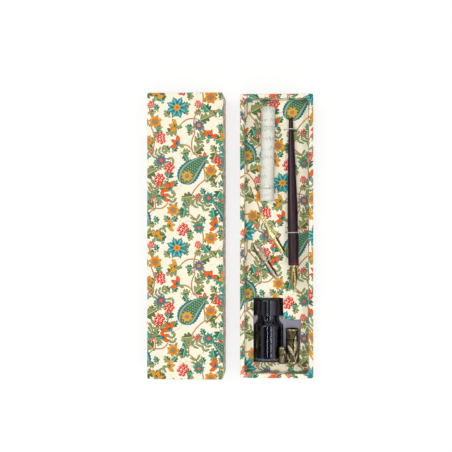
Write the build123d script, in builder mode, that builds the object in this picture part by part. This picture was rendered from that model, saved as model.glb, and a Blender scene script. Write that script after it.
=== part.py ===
from build123d import *
import os
from math import asin, atan2, cos, hypot, radians, sin, sqrt, tan

# Writing set in a lift-off-lid box, lying open: the lid stands face up on the left and the
# base with its contents on the right. X runs across both, Y along them, Z up from the table.

# Sheet and board thicknesses
paper = 0.15
lining = 0.1
tape = 0.1
lid_board_thick = 1.0
base_board_thick = 2.2
card_thick = 1.65

# Fits and gaps
lid_clearance = 0.25
lid_head_room = 0.35
card_fit = 0.15
foam_fit = 0.3
rest_gap = 0.25
string_gap = 0.25
lid_gap = 17.0

# Box corners
box_corner = 2.0
tray_corner = 2.5
base_inside_corner = 0.6
tape_reach = 9.0

# Rolled writing paper
scroll_diameter = 14.3
scroll_length = 95.1
scroll_sheet = 0.3
scroll_step = 0.45
scroll_half_turns = 5
scroll_lean = 0.886

# Dip pen, measured from its tail
pen_length = 150.0
pen_tail_radius = 2.05
pen_neck_at, pen_neck_radius = 12.0, 2.55
pen_waist_at, pen_waist_radius = 45.0, 3.9
pen_belly_at, pen_belly_radius = 108.0, 5.33
pen_front_radius = 5.45
pen_front_round = 1.4
pen_tail_round = 0.7
pen_lean = 1.03

# Nib clip in the pen's mouth
clip_depth = 14.0
clip_radius = 3.55
clip_wall = 0.3
clip_lip = 0.4
tongue_outer = 2.35
tongue_width = 50.0
tongue_count = 4

# Pressed nibs
nib_sheet = 0.3
nib_insertion = 13.5
nib_exposed = 27.5
slit_width = 0.18
slit_overrun = 1.0
pen_slot_width = 1.0
pen_slot_from, pen_slot_to = 11.2, 20.0
gold_nib_length = 45.1
gold_nib_angle = 30.4
steel_nib_length = 39.6
steel_nib_angle = 32.9
breather_radius = 0.75

# Ink bottle lying on its side, measured from its heel
bottle_diameter = 28.8
bottle_heel_round = 2.0
bottle_body = 34.8
bottle_shoulder = 7.2
bottle_neck = 3.7
neck_radius = 9.8
finish_radius = 10.8
finish_length = 15.3
thread_rise = 0.6
thread_from_neck = 4.5
thread_pitch = 4.0
thread_turns = 2
glass_wall = 1.8
glass_floor = 3.0
cavity_setback = 0.5
neck_bore_radius = 8.0
ink_level = 10.5
ink_gap = 0.05
ink_below_lip = 1.0
cap_radius = 13.25
cap_inside_radius = 11.75
cap_length = 17.6
cap_flutes = 48
flute_radius = 0.25
cap_liner_thick = 1.05
cap_edge_round = 1.2

# Cast bamboo pen stand, lying on its side
stalk_radius = 6.35
stalk_rim_radius = 6.9
stalk_rim_height = 1.8
stalk_length = 35.0
stalk_bore_radius = 5.65
stalk_bore_depth = 31.0
shoot_radius = 3.6
shoot_length = 17.3
shoot_spacing = 10.6
joint_rise = 0.4
joint_height = 1.2
relief = 0.65
web_thick = 3.0
web_height = 13.0
shoot_top_round = 2.2
stalk_joints = [11.0, 23.0]
shoot_joint = 8.5

# Tray layout, from the walls and from one piece to the next
platform_height = 22.6
tray_head_room = 0.2
side_margin = 8.5
bottle_side_gap = 0.9
stand_left_gap = 2.0
stand_right_gap = 2.6
pocket_taper = 2.3
pocket_margin = 7.1
pocket_depth = 4.3
foot_margin = 8.7
bottle_heel_gap = 2.2
bottle_cap_gap = 0.5
pocket_foot_extra = 0.8
stand_foot_gap = 1.0
stand_mouth_gap = 8.7
stand_bottle_gap = 0.5
nib_to_recess = 5.7
pen_head_margin = 18.4
pen_to_nib = 2.75
pen_side_margin = 9.7
steel_end_gap = 21.9
steel_from_wall = 9.74
gold_over_steel = 24.5
gold_from_wall = 15.88
scroll_over_nib = 13.5
scroll_side_gap = 15.25
scroll_head_margin = 7.6

# Holding strings and the holes they pass
string_diameter = 0.8
string_hole = 0.85
string_rise = 0.6
hole_bend = 1.2
groove_bend = 1.0
scroll_string_low, scroll_string_high = 12.4, 74.5
pen_neck_string, pen_belly_string = 11.2, 116.3
gold_string_at, steel_string_at = 27.7, 21.4
steel_skew = 6.0
nib_reach = 3.4
scroll_high_left, scroll_high_right = 6.35, 3.85
scroll_low_left, scroll_low_right = 2.65, 4.35
neck_left, neck_right = 4.0, 3.2
belly_reach = 1.6
groove_width = 2.6
groove_depth = 2.4
knot_radius = 1.0
knot_half = 0.3

# Worked out: rim, tray and outer sizes
rim = paper + base_board_thick + lining + card_fit + card_thick + paper
bottle_radius = bottle_diameter / 2
bottle_length = bottle_body + bottle_shoulder + bottle_neck + cap_length
scroll_radius = scroll_diameter / 2
recess_width = bottle_diameter + 2 * bottle_side_gap
recess_length = bottle_heel_gap + bottle_length + bottle_cap_gap
pocket_width = stand_left_gap + 2 * stalk_rim_radius + stand_right_gap

nib_half_shank = 2.9
gold_side = gold_from_wall + gold_nib_length * sin(radians(gold_nib_angle))
gold_side += nib_half_shank * cos(radians(gold_nib_angle))
pen_from_wall = gold_side + pen_to_nib + pen_front_radius
tray_width = max(
    side_margin + recess_width + pocket_width + pocket_margin,
    pen_from_wall + pen_front_radius + pen_side_margin,
)

steel_end = foot_margin + recess_length + steel_end_gap
steel_tip = steel_end + steel_nib_length * cos(radians(steel_nib_angle))
gold_end = steel_end + gold_over_steel
gold_tip = gold_end + gold_nib_length * cos(radians(gold_nib_angle))
scroll_foot = gold_tip + scroll_over_nib
scroll_top = scroll_foot + scroll_length * cos(radians(scroll_lean))
pen_total = (pen_length + nib_exposed) * cos(radians(pen_lean))
pen_tip = foot_margin + recess_length + nib_to_recess
tray_length = max(
    pen_tip + pen_total + pen_head_margin,
    scroll_top + scroll_head_margin,
)

base_width = tray_width + 2 * rim
base_length = tray_length + 2 * rim
scroll_axis_height = platform_height + rest_gap + scroll_radius
base_height = scroll_axis_height + scroll_radius + string_gap + string_diameter + tray_head_room
lid_wall = paper + lid_board_thick + lining
lid_width = base_width + 2 * (lid_clearance + lid_wall)
lid_length = base_length + 2 * (lid_clearance + lid_wall)
lid_height = base_height + lid_head_room + lid_wall

span = lid_width + lid_gap + base_width
lid_x = (lid_width - span) / 2
base_x = (span - base_width) / 2
wall_x = base_x - tray_width / 2
foot_y = -tray_length / 2

floor_top = paper + base_board_thick
seat_height = floor_top + lining
foam_top = platform_height - paper - card_thick


def place(x, y):
    """Point of the tray, from its left wall and its foot wall, in the part's frame."""
    return (wall_x + x, foot_y + y)


def rounded(width, length, radius, height, x):
    """Sketch of a rounded rectangle centred on x at one height."""
    with BuildSketch(Plane.XY.offset(height)) as outline:
        with Locations((x, 0)):
            RectangleRounded(width, length, radius)
    return outline.sketch


def corner_strips(width, length, radius, height, x):
    """Sketch of the four angle strips that lie over the corners of a board tray."""
    with BuildSketch(Plane.XY.offset(height)) as strips:
        with Locations((x, 0)):
            RectangleRounded(width, length, radius)
            RectangleRounded(
                width - 2 * tape, length - 2 * tape, radius - tape, mode=Mode.SUBTRACT
            )
            Rectangle(width - 2 * tape_reach, length, mode=Mode.SUBTRACT)
            Rectangle(width, length - 2 * tape_reach, mode=Mode.SUBTRACT)
    return strips.sketch


# Lid: a folded board tray turned face up, taped at its corners, papered and lined
lid_board_width = lid_width - 2 * paper
lid_board_length = lid_length - 2 * paper
lid_board_corner = box_corner - paper
lid_board_top = lid_height - paper
lid_inside_width = lid_board_width - 2 * lid_board_thick
lid_inside_length = lid_board_length - 2 * lid_board_thick
lid_inside_corner = lid_board_corner - lid_board_thick
lid_ceiling = lid_board_top - lid_board_thick
lid_strips = corner_strips(lid_board_width, lid_board_length, lid_board_corner, 0, lid_x)

with BuildPart() as lid_board:
    extrude(
        rounded(lid_board_width, lid_board_length, lid_board_corner, 0, lid_x),
        amount=lid_board_top,
    )
    extrude(
        rounded(lid_inside_width, lid_inside_length, lid_inside_corner, 0, lid_x),
        amount=lid_ceiling,
        mode=Mode.SUBTRACT,
    )
    extrude(lid_strips, amount=lid_board_top, mode=Mode.SUBTRACT)

with BuildPart() as lid_corner_tapes:
    extrude(lid_strips, amount=lid_board_top)

with BuildPart() as lid_wrap:
    extrude(rounded(lid_width, lid_length, box_corner, 0, lid_x), amount=lid_height)
    extrude(
        rounded(lid_board_width, lid_board_length, lid_board_corner, 0, lid_x),
        amount=lid_board_top,
        mode=Mode.SUBTRACT,
    )

with BuildPart() as lid_liner:
    extrude(
        rounded(lid_inside_width, lid_inside_length, lid_inside_corner, 0, lid_x),
        amount=lid_ceiling,
    )
    extrude(
        rounded(
            lid_inside_width - 2 * lining,
            lid_inside_length - 2 * lining,
            lid_inside_corner - lining,
            0,
            lid_x,
        ),
        amount=lid_ceiling - lining,
        mode=Mode.SUBTRACT,
    )

# Base: a thicker board tray, its wrap turned over the rim and over the insert's flange
base_board_width = base_width - 2 * paper
base_board_length = base_length - 2 * paper
base_board_corner = box_corner - paper
base_board_top = base_height - paper
base_inside_width = base_board_width - 2 * base_board_thick
base_inside_length = base_board_length - 2 * base_board_thick
base_strips = corner_strips(
    base_board_width, base_board_length, base_board_corner, paper, base_x
)

with BuildPart() as base_board:
    extrude(
        rounded(base_board_width, base_board_length, base_board_corner, paper, base_x),
        amount=base_board_top - paper,
    )
    extrude(
        rounded(
            base_inside_width, base_inside_length, base_inside_corner, floor_top, base_x
        ),
        amount=base_board_top - floor_top,
        mode=Mode.SUBTRACT,
    )
    extrude(base_strips, amount=base_board_top - paper, mode=Mode.SUBTRACT)

with BuildPart() as base_corner_tapes:
    extrude(base_strips, amount=base_board_top - paper)

with BuildPart() as base_wrap:
    extrude(rounded(base_width, base_length, box_corner, 0, base_x), amount=base_height)
    extrude(
        rounded(base_board_width, base_board_length, base_board_corner, 0, base_x),
        amount=base_board_top,
        mode=Mode.SUBTRACT,
    )
    extrude(
        rounded(tray_width, tray_length, tray_corner, base_board_top, base_x),
        amount=paper,
        mode=Mode.SUBTRACT,
    )

with BuildPart() as base_bottom_paper:
    extrude(
        rounded(base_board_width, base_board_length, base_board_corner, 0, base_x),
        amount=paper,
    )

liner_inside_width = base_inside_width - 2 * lining
liner_inside_length = base_inside_length - 2 * lining
liner_inside_corner = base_inside_corner - lining
with BuildPart() as base_liner:
    extrude(
        rounded(
            base_inside_width, base_inside_length, base_inside_corner, floor_top, base_x
        ),
        amount=base_board_top - floor_top,
    )
    extrude(
        rounded(
            liner_inside_width, liner_inside_length, liner_inside_corner, seat_height, base_x
        ),
        amount=base_board_top - seat_height,
        mode=Mode.SUBTRACT,
    )

# Places of the round pieces that lie in the tray
bottle_x = wall_x + side_margin + recess_width / 2
bottle_axis_height = seat_height + rest_gap + bottle_radius
heel_y = foot_y + foot_margin + bottle_heel_gap

pocket_left = side_margin + recess_width
stand_x = wall_x + pocket_left + stand_left_gap + stalk_rim_radius
pocket_floor = platform_height - pocket_depth
stand_axis_height = pocket_floor + rest_gap + stalk_rim_radius
stand_y = foot_y + foot_margin - pocket_foot_extra + stand_foot_gap

# The stand lies with its tall stalk in the pocket and its shoot just above the bottle's
# flank: the shoot's axis is where two circles cross, one about each neighbour's axis.
shoot_to_bottle = bottle_radius + shoot_radius + stand_bottle_gap
axes_dx = stand_x - bottle_x
axes_dz = stand_axis_height - bottle_axis_height
axes_apart = hypot(axes_dx, axes_dz)
along_axes = (shoot_to_bottle**2 - shoot_spacing**2 + axes_apart**2) / (2 * axes_apart)
above_axes = sqrt(shoot_to_bottle**2 - along_axes**2)
shoot_x = bottle_x + (along_axes * axes_dx - above_axes * axes_dz) / axes_apart
shoot_z = bottle_axis_height + (along_axes * axes_dz + above_axes * axes_dx) / axes_apart
stand_roll = atan2(shoot_z - stand_axis_height, stand_x - shoot_x)

# The pen rests on its tapered belly, so its axis rises towards the nib
pen_rise = (pen_belly_radius - pen_waist_radius) / (pen_belly_at - pen_waist_at)
pen_tail_x = wall_x + pen_from_wall - pen_length * sin(radians(pen_lean))
pen_tail_y = foot_y + pen_tip + pen_total
pen_tail_z = platform_height + rest_gap + pen_belly_radius - pen_rise * pen_belly_at
pen_axis = Vector(tan(radians(pen_lean)), -1, pen_rise).normalized()
pen_tail = Vector(pen_tail_x, pen_tail_y, pen_tail_z)

scroll_start = Vector(
    wall_x + scroll_side_gap + scroll_radius, foot_y + scroll_foot, scroll_axis_height
)
scroll_axis = Vector(sin(radians(scroll_lean)), cos(radians(scroll_lean)), 0)

gold_tip_point = Vector(*place(gold_from_wall, gold_tip), platform_height + rest_gap)
gold_axis = Vector(sin(radians(gold_nib_angle)), -cos(radians(gold_nib_angle)), 0)
steel_tip_point = Vector(*place(steel_from_wall, steel_tip), platform_height + rest_gap)
steel_axis = Vector(sin(radians(steel_nib_angle)), -cos(radians(steel_nib_angle)), 0)

# Nib stations: distance from the tip, half width, rise of the curved sheet at its middle,
# and how high the middle stands over the nib's reference line
shank_rise = 1.9
pen_crown = 2.9
pen_nib_stations = [
    (0, 0.3, 0.05, 1.6),
    (4.9, 1.37, 0.45, 2.0),
    (7.6, 2.33, 0.9, 2.3),
    (15.7, 3.38, 1.7, 2.9),
    (nib_exposed, 2.8, shank_rise, pen_crown),
    (nib_exposed + nib_insertion, 2.8, shank_rise, pen_crown),
]
gold_shoulder_at, gold_shoulder = 26.0, 5.8
gold_nib_stations = [
    (0, 0.45, 0.1, 0.4),
    (2.5, 1.3, 0.3, 0.6),
    (8.7, 2.2, 0.6, 0.9),
    (12.7, 1.7, 0.8, 1.1),
    (19.0, 3.2, 1.3, 1.6),
    (gold_shoulder_at, gold_shoulder, 2.0, 2.3),
    (gold_shoulder_at + 0.7, nib_half_shank, shank_rise, 2.2),
    (gold_nib_length, nib_half_shank, shank_rise, 2.2),
]
steel_body_at, steel_body = 19.2, 4.3
steel_nib_stations = [
    (0, 1.9, 0.3, 0.6),
    (5.0, 3.6, 1.1, 1.4),
    (10.0, 4.5, 1.8, 2.1),
    (steel_body_at, steel_body, 1.9, 2.2),
    (steel_body_at + 0.8, nib_half_shank, shank_rise, 2.2),
    (steel_nib_length, nib_half_shank, shank_rise, 2.2),
]
reservoir_lift = 0.05
reservoir_sheet = 0.25
reservoir_from, reservoir_to = 6.0, 18.4
reservoir_half_width = 2.9


def station_value(stations, at, column):
    """Value of one column of a nib's stations, between two of them."""
    for low, high in zip(stations, stations[1:]):
        if low[0] <= at <= high[0]:
            share = (at - low[0]) / (high[0] - low[0])
            return low[column] + share * (high[column] - low[column])
    return stations[-1][column]


def nib_plane(tip, axis, at):
    """Plane square to a nib at a distance from its tip, with its X across and Y up."""
    across = Vector(0, 0, 1).cross(axis).normalized()
    return Plane(origin=tip + axis * at, x_dir=across, z_dir=axis)


def band(plane, half_width, rise, crown, sheet):
    """Section of a curved sheet: an arc above, the same arc one sheet lower."""
    with BuildSketch(plane) as section:
        with BuildLine():
            left, right = (-half_width, crown - rise), (half_width, crown - rise)
            ThreePointArc(left, (0, crown), right)
            Line(right, (half_width, crown - rise - sheet))
            ThreePointArc(
                (half_width, crown - rise - sheet),
                (0, crown - sheet),
                (-half_width, crown - rise - sheet),
            )
            Line((-half_width, crown - rise - sheet), left)
        make_face()
    return section.sketch.face()


def slit(to):
    """Slit of a nib, from just beyond its tip, in a plane with its origin at the tip."""
    with Locations(((to - slit_overrun) / 2, 0)):
        Rectangle(to + slit_overrun, slit_width)


def nib_sections(tip, axis, stations):
    """Sections of a pressed nib at its stations."""
    return [
        band(nib_plane(tip, axis, at), half_width, rise, crown, nib_sheet)
        for at, half_width, rise, crown in stations
    ]


# Nib of the pen: a pressed brass sheet with a slit and a long breather slot
nib_tip_point = pen_tail + pen_axis * (pen_length + nib_exposed)
nib_axis = pen_axis * -1
with BuildPart() as pen_nib:
    loft(nib_sections(nib_tip_point, nib_axis, pen_nib_stations), ruled=True)
    top = Plane(
        origin=nib_tip_point,
        x_dir=nib_axis,
        z_dir=nib_plane(nib_tip_point, nib_axis, 0).y_dir,
    )
    with BuildSketch(top):
        with Locations(((pen_slot_from + pen_slot_to) / 2, 0)):
            SlotOverall(pen_slot_to - pen_slot_from, pen_slot_width)
        slit(pen_slot_from + pen_slot_width / 2)
    extrude(amount=2 * pen_crown, mode=Mode.SUBTRACT)

# Spare nib in pale gold: leaf point, neck, wide shoulders with two breathers, shank
gold_breather_at, gold_breather_side = 24.4, 2.3
with BuildPart() as spare_nib_gold:
    loft(nib_sections(gold_tip_point, gold_axis, gold_nib_stations), ruled=True)
    with BuildSketch(Plane(origin=gold_tip_point, x_dir=gold_axis, z_dir=(0, 0, 1))):
        with Locations(
            (gold_breather_at, gold_breather_side), (gold_breather_at, -gold_breather_side)
        ):
            Circle(breather_radius)
        slit(gold_breather_at)
    extrude(amount=2 * pen_crown, mode=Mode.SUBTRACT)

# Spare nib in steel: broad square point, with a brass ink reservoir clipped over it
with BuildPart() as spare_nib_steel:
    loft(nib_sections(steel_tip_point, steel_axis, steel_nib_stations), ruled=True)
    with BuildSketch(Plane(origin=steel_tip_point, x_dir=steel_axis, z_dir=(0, 0, 1))):
        slit(reservoir_from)
    extrude(amount=2 * pen_crown, mode=Mode.SUBTRACT)

reservoir_sections = []
for at in (reservoir_from, steel_nib_stations[2][0], reservoir_to):
    nib_half = station_value(steel_nib_stations, at, 1)
    nib_rise = station_value(steel_nib_stations, at, 2)
    nib_crown = station_value(steel_nib_stations, at, 3)
    curve = (nib_half**2 + nib_rise**2) / (2 * nib_rise)
    cover = curve - sqrt(curve**2 - reservoir_half_width**2)
    reservoir_crown = nib_crown + reservoir_lift + reservoir_sheet
    reservoir_sections.append(
        band(
            nib_plane(steel_tip_point, steel_axis, at),
            reservoir_half_width,
            cover,
            reservoir_crown,
            reservoir_sheet,
        )
    )
with BuildPart() as nib_reservoir:
    loft(reservoir_sections, ruled=True)

# Pen holder: turned wood, bored at its front for the nib clip
pen_side = pen_axis.cross(Vector(0, 0, 1)).normalized()
pen_profile_plane = Plane(origin=pen_tail, x_dir=pen_axis, z_dir=pen_side)
pen_line = Axis(pen_tail, pen_axis)
clip_back = pen_length - clip_depth
with BuildPart() as pen_holder:
    with BuildSketch(pen_profile_plane):
        with BuildLine():
            Spline(
                (0, pen_tail_radius),
                (pen_neck_at, pen_neck_radius),
                (pen_waist_at, pen_waist_radius),
                (pen_belly_at, pen_belly_radius),
                (pen_length, pen_front_radius),
            )
            Polyline((pen_length, pen_front_radius), (pen_length, 0), (0, 0), (0, pen_tail_radius))
        make_face()
    revolve(axis=pen_line)
    ends = pen_holder.edges().filter_by(GeomType.CIRCLE).sort_by_distance(pen_tail)
    fillet(ends[0], pen_tail_round)
    fillet(ends[-1], pen_front_round)
    with BuildSketch(pen_profile_plane):
        with Locations((pen_length - clip_depth / 2, clip_radius / 2)):
            Rectangle(clip_depth, clip_radius)
    revolve(axis=pen_line, mode=Mode.SUBTRACT)

# Nib clip: a steel sleeve with a back plate and spring tongues that press the nib outwards
back_plate = 0.4
tongue_front_gap = 1.0
with BuildPart() as pen_ferrule:
    with BuildSketch(Plane(origin=pen_tail + pen_axis * clip_back, z_dir=pen_axis)) as sleeve:
        Circle(clip_radius)
        Circle(clip_radius - clip_wall, mode=Mode.SUBTRACT)
    extrude(amount=clip_depth + clip_lip)
    with BuildSketch(sleeve.workplanes[0]):
        Circle(clip_radius)
    extrude(amount=back_plate)
    with BuildSketch(sleeve.workplanes[0]):
        Circle(tongue_outer)
        Circle(tongue_outer - clip_wall, mode=Mode.SUBTRACT)
        gap_width = 2 * tongue_outer * sin(radians(360 / tongue_count - tongue_width) / 2)
        with PolarLocations(0, tongue_count // 2, angular_range=180):
            Rectangle(4 * tongue_outer, gap_width, mode=Mode.SUBTRACT)
    extrude(amount=clip_depth - tongue_front_gap)

# Rolled writing paper: one sheet wound in half turns, each a step smaller than the last
scroll_plane = Plane(origin=scroll_start, x_dir=scroll_axis.cross(Vector(0, 0, 1)), z_dir=scroll_axis)
with BuildPart() as scroll:
    with BuildSketch(scroll_plane):
        with BuildLine():
            radius = scroll_radius - scroll_sheet / 2
            edge = radius
            side = 1
            for turn in range(scroll_half_turns):
                middle = edge - side * radius
                ThreePointArc(
                    (edge, 0), (middle, side * -radius), (middle - side * radius, 0)
                )
                edge = middle - side * radius
                side = -side
                radius -= scroll_step
        trace(line_width=scroll_sheet)
    extrude(amount=scroll_length)

# Ink bottle: thick-walled glass with a turned-in heel, sloping shoulder and threaded finish
bottle_plane = Plane(origin=(bottle_x, heel_y, bottle_axis_height), x_dir=(0, 1, 0), z_dir=(1, 0, 0))
bottle_line = Axis((bottle_x, heel_y, bottle_axis_height), (0, 1, 0))
shoulder_end = bottle_body + bottle_shoulder
cap_start = shoulder_end + bottle_neck
lip = cap_start + finish_length
cavity_shoulder = bottle_body - cavity_setback
with BuildPart() as bottle_glass:
    with BuildSketch(bottle_plane):
        with BuildLine():
            Line((0, 0), (0, bottle_radius))
            Line((0, bottle_radius), (bottle_body, bottle_radius))
            Spline(
                (bottle_body, bottle_radius),
                (shoulder_end, neck_radius),
                tangents=((1, 0), (1, 0)),
            )
            Polyline(
                (shoulder_end, neck_radius),
                (cap_start, neck_radius),
                (cap_start, finish_radius),
                (lip, finish_radius),
                (lip, 0),
                (0, 0),
            )
        make_face()
    revolve(axis=bottle_line)
    heel = bottle_glass.edges().filter_by(GeomType.CIRCLE).sort_by(Axis.Y)[0]
    fillet(heel, bottle_heel_round)
    with BuildSketch(bottle_plane):
        for turn in range(thread_turns):
            thread_at = cap_start + thread_from_neck + turn * thread_pitch
            with BuildLine():
                Polyline(
                    (thread_at - 2 * thread_rise, finish_radius - thread_rise),
                    (thread_at - thread_rise / 2, finish_radius + thread_rise),
                    (thread_at + thread_rise / 2, finish_radius + thread_rise),
                    (thread_at + 2 * thread_rise, finish_radius - thread_rise),
                    close=True,
                )
            make_face()
    revolve(axis=bottle_line)
    with BuildSketch(bottle_plane):
        with BuildLine():
            Line((glass_floor, 0), (glass_floor, bottle_radius - glass_wall))
            Line(
                (glass_floor, bottle_radius - glass_wall),
                (cavity_shoulder, bottle_radius - glass_wall),
            )
            Spline(
                (cavity_shoulder, bottle_radius - glass_wall),
                (shoulder_end, neck_bore_radius),
                tangents=((1, 0), (1, 0)),
            )
            Polyline((shoulder_end, neck_bore_radius), (lip, neck_bore_radius), (lip, 0))
            Line((lip, 0), (glass_floor, 0))
        make_face()
    revolve(axis=bottle_line, mode=Mode.SUBTRACT)

# Ink: fills the bottle up to a level surface under a pocket of air
ink_end = lip - ink_below_lip
with BuildPart() as bottle_ink:
    with BuildSketch(bottle_plane):
        with BuildLine():
            ink_radius = bottle_radius - glass_wall - ink_gap
            ink_neck = neck_bore_radius - ink_gap
            Polyline(
                (glass_floor + ink_gap, 0),
                (glass_floor + ink_gap, ink_radius),
                (cavity_shoulder, ink_radius),
            )
            Spline(
                (cavity_shoulder, ink_radius),
                (shoulder_end, ink_neck),
                tangents=((1, 0), (1, 0)),
            )
            Polyline(
                (shoulder_end, ink_neck),
                (ink_end, ink_neck),
                (ink_end, 0),
                (glass_floor + ink_gap, 0),
            )
        make_face()
    revolve(axis=bottle_line)
    with BuildSketch(Plane.XY.offset(bottle_axis_height + ink_level)):
        with Locations((bottle_x, heel_y + bottle_length / 2)):
            Rectangle(bottle_diameter, bottle_length)
    extrude(amount=bottle_radius, mode=Mode.SUBTRACT)

# Screw cap: moulded, fluted round its side, with a soft disc that seals on the lip
cap_roof = lip + ink_gap + cap_liner_thick
cap_plane = Plane(
    origin=(bottle_x, heel_y + cap_start, bottle_axis_height), x_dir=(1, 0, 0), z_dir=(0, 1, 0)
)
with BuildPart() as bottle_cap:
    with BuildSketch(cap_plane):
        Circle(cap_radius)
    extrude(amount=cap_length)
    fillet(bottle_cap.edges().sort_by(Axis.Y)[-1], cap_edge_round)
    with BuildSketch(cap_plane):
        Circle(cap_inside_radius)
    extrude(amount=cap_roof - cap_start, mode=Mode.SUBTRACT)
    with BuildSketch(cap_plane):
        with PolarLocations(cap_radius, cap_flutes):
            Circle(flute_radius)
    extrude(amount=cap_length - 2 * cap_edge_round, mode=Mode.SUBTRACT)

with BuildPart() as cap_liner:
    with BuildSketch(cap_plane.offset(cap_roof - cap_start - cap_liner_thick)):
        Circle(cap_inside_radius - ink_gap)
    extrude(amount=cap_liner_thick)

# Pen stand: one brass casting of a hollow bamboo stalk and a short shoot on its left,
# joined by a web, with cast leaves in relief across both
roll_cos, roll_sin = cos(stand_roll), sin(stand_roll)
stand_foot = Vector(stand_x, stand_y, stand_axis_height)
stand_end_plane = Plane(origin=stand_foot, x_dir=(roll_cos, 0, -roll_sin), z_dir=(0, 1, 0))
stand_face_plane = Plane(
    origin=stand_foot, x_dir=(roll_cos, 0, -roll_sin), z_dir=(roll_sin, 0, roll_cos)
)
stand_leaves = [
    ((1.5, 3.0), (6.2, 15.0), 1.7),
    ((-1.0, 8.0), (4.8, 24.0), 2.1),
    ((0.5, 15.0), (1.8, 29.5), 1.6),
    ((-0.5, 7.5), (-5.6, 19.0), 1.7),
    ((-4.5, 3.0), (-9.6, 13.5), 1.8),
    ((3.4, 12.5), (6.0, 27.0), 1.3),
]
with BuildPart() as pen_stand:
    with BuildSketch(stand_end_plane):
        Circle(stalk_radius)
    extrude(amount=stalk_length)
    with BuildSketch(stand_end_plane):
        with Locations((-shoot_spacing, 0)):
            Circle(shoot_radius)
    extrude(amount=shoot_length)
    shoot_top = pen_stand.edges().filter_by(GeomType.CIRCLE).filter_by(
        lambda edge: abs(edge.radius - shoot_radius) < joint_rise / 2
    ).sort_by(Axis.Y)[-1]
    fillet(shoot_top, shoot_top_round)
    for height in (0, stalk_length - stalk_rim_height):
        with BuildSketch(stand_end_plane.offset(height)):
            Circle(stalk_rim_radius)
        extrude(amount=stalk_rim_height)
    for height in stalk_joints:
        with BuildSketch(stand_end_plane.offset(height)):
            Circle(stalk_radius + joint_rise)
        extrude(amount=joint_height)
    with BuildSketch(stand_end_plane.offset(shoot_joint)):
        with Locations((-shoot_spacing, 0)):
            Circle(shoot_radius + joint_rise / 2)
    extrude(amount=joint_height)
    with BuildSketch(stand_end_plane):
        with Locations((-shoot_spacing / 2, 0)):
            Rectangle(shoot_spacing, web_thick)
    extrude(amount=web_height)
    with BuildSketch(stand_end_plane, mode=Mode.PRIVATE) as coat:
        Circle(stalk_radius + relief)
        with Locations((-shoot_spacing, 0)):
            Circle(shoot_radius + relief)
    relief_coat = extrude(coat.sketch, amount=stalk_length - stalk_rim_height, mode=Mode.PRIVATE)
    for (base_u, base_v), (tip_u, tip_v), belly in stand_leaves:
        with BuildSketch(stand_face_plane, mode=Mode.PRIVATE) as leaf:
            with BuildLine():
                middle_u, middle_v = (base_u + tip_u) / 2, (base_v + tip_v) / 2
                long = hypot(tip_u - base_u, tip_v - base_v)
                off_u, off_v = (tip_v - base_v) / long, (base_u - tip_u) / long
                for bulge in (belly, -belly):
                    ThreePointArc(
                        (base_u, base_v),
                        (middle_u + off_u * bulge, middle_v + off_v * bulge),
                        (tip_u, tip_v),
                    )
            make_face()
        blade = extrude(leaf.sketch, amount=2 * stalk_rim_radius, mode=Mode.PRIVATE)
        add(blade & relief_coat)
    with BuildSketch(stand_end_plane.offset(stalk_length)):
        Circle(stalk_bore_radius)
    extrude(amount=-stalk_bore_depth, mode=Mode.SUBTRACT)

# Strings: each goes round one piece, down through two holes and back under the card
shank_curve = (nib_half_shank**2 + shank_rise**2) / (2 * shank_rise)
shank_top = rest_gap + station_value(gold_nib_stations, gold_nib_length, 3)


def pen_radius_at(at):
    """Radius of the pen near a place on its neck or its belly."""
    if at < pen_waist_at:
        share = (at - pen_neck_at) / (pen_waist_at - pen_neck_at)
        return pen_neck_radius + share * (pen_waist_radius - pen_neck_radius)
    share = (at - pen_belly_at) / (pen_length - pen_belly_at)
    return pen_belly_radius + share * (pen_front_radius - pen_belly_radius)


def string_over(point, angle, radius, height, left, right):
    """Facts of one string: where, which way, the round it clears, and its two holes."""
    return {
        "point": point,
        "angle": angle,
        "radius": radius,
        "height": height,
        "left": left,
        "right": right,
    }


def scroll_string(at, left, right):
    """String over the rolled paper at a distance from its lower end."""
    point = scroll_start + scroll_axis * at
    height = scroll_axis_height - platform_height
    return string_over(
        point, -scroll_lean, scroll_radius, height, scroll_radius + left, scroll_radius + right
    )


def pen_string(at, left, right):
    """String over the pen at a distance from its tail."""
    point = pen_tail + pen_axis * at
    radius = pen_radius_at(at)
    height = point.Z - platform_height
    return string_over(point, pen_lean, radius, height, radius + left, radius + right)


def nib_string(tip, axis, at, angle):
    """String over the shank of a spare nib."""
    reach = nib_half_shank + nib_reach
    return string_over(
        tip + axis * at, angle, shank_curve, shank_top - shank_curve, reach, reach
    )


strings = {
    "string_scroll_top": scroll_string(
        scroll_string_high, scroll_high_left, scroll_high_right
    ),
    "string_scroll_foot": scroll_string(scroll_string_low, scroll_low_left, scroll_low_right),
    "string_pen_neck": pen_string(pen_neck_string, neck_left, neck_right),
    "string_pen_belly": pen_string(pen_belly_string, belly_reach, belly_reach),
    "string_gold_nib": nib_string(gold_tip_point, gold_axis, gold_string_at, gold_nib_angle),
    "string_steel_nib": nib_string(
        steel_tip_point, steel_axis, steel_string_at, steel_nib_angle + steel_skew
    ),
}


def string_plane(facts):
    """Upright plane across a string's item, its origin on the platform under the axis."""
    turn = radians(facts["angle"])
    return Plane(
        origin=(facts["point"].X, facts["point"].Y, platform_height),
        x_dir=(cos(turn), sin(turn), 0),
        z_dir=(sin(turn), -cos(turn), 0),
    )


def tangent_slope(reach, height, radius):
    """Slope of the line from a hole's mouth that touches the round of the string."""
    distance = hypot(reach, height - string_rise)
    return tan(atan2(height - string_rise, reach) + asin(radius / distance))


def hole_places(facts):
    """The two holes of a string in the part's frame."""
    turn = radians(facts["angle"])
    return [
        (facts["point"].X + reach * cos(turn), facts["point"].Y + reach * sin(turn))
        for reach in (-facts["left"], facts["right"])
    ]


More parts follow.
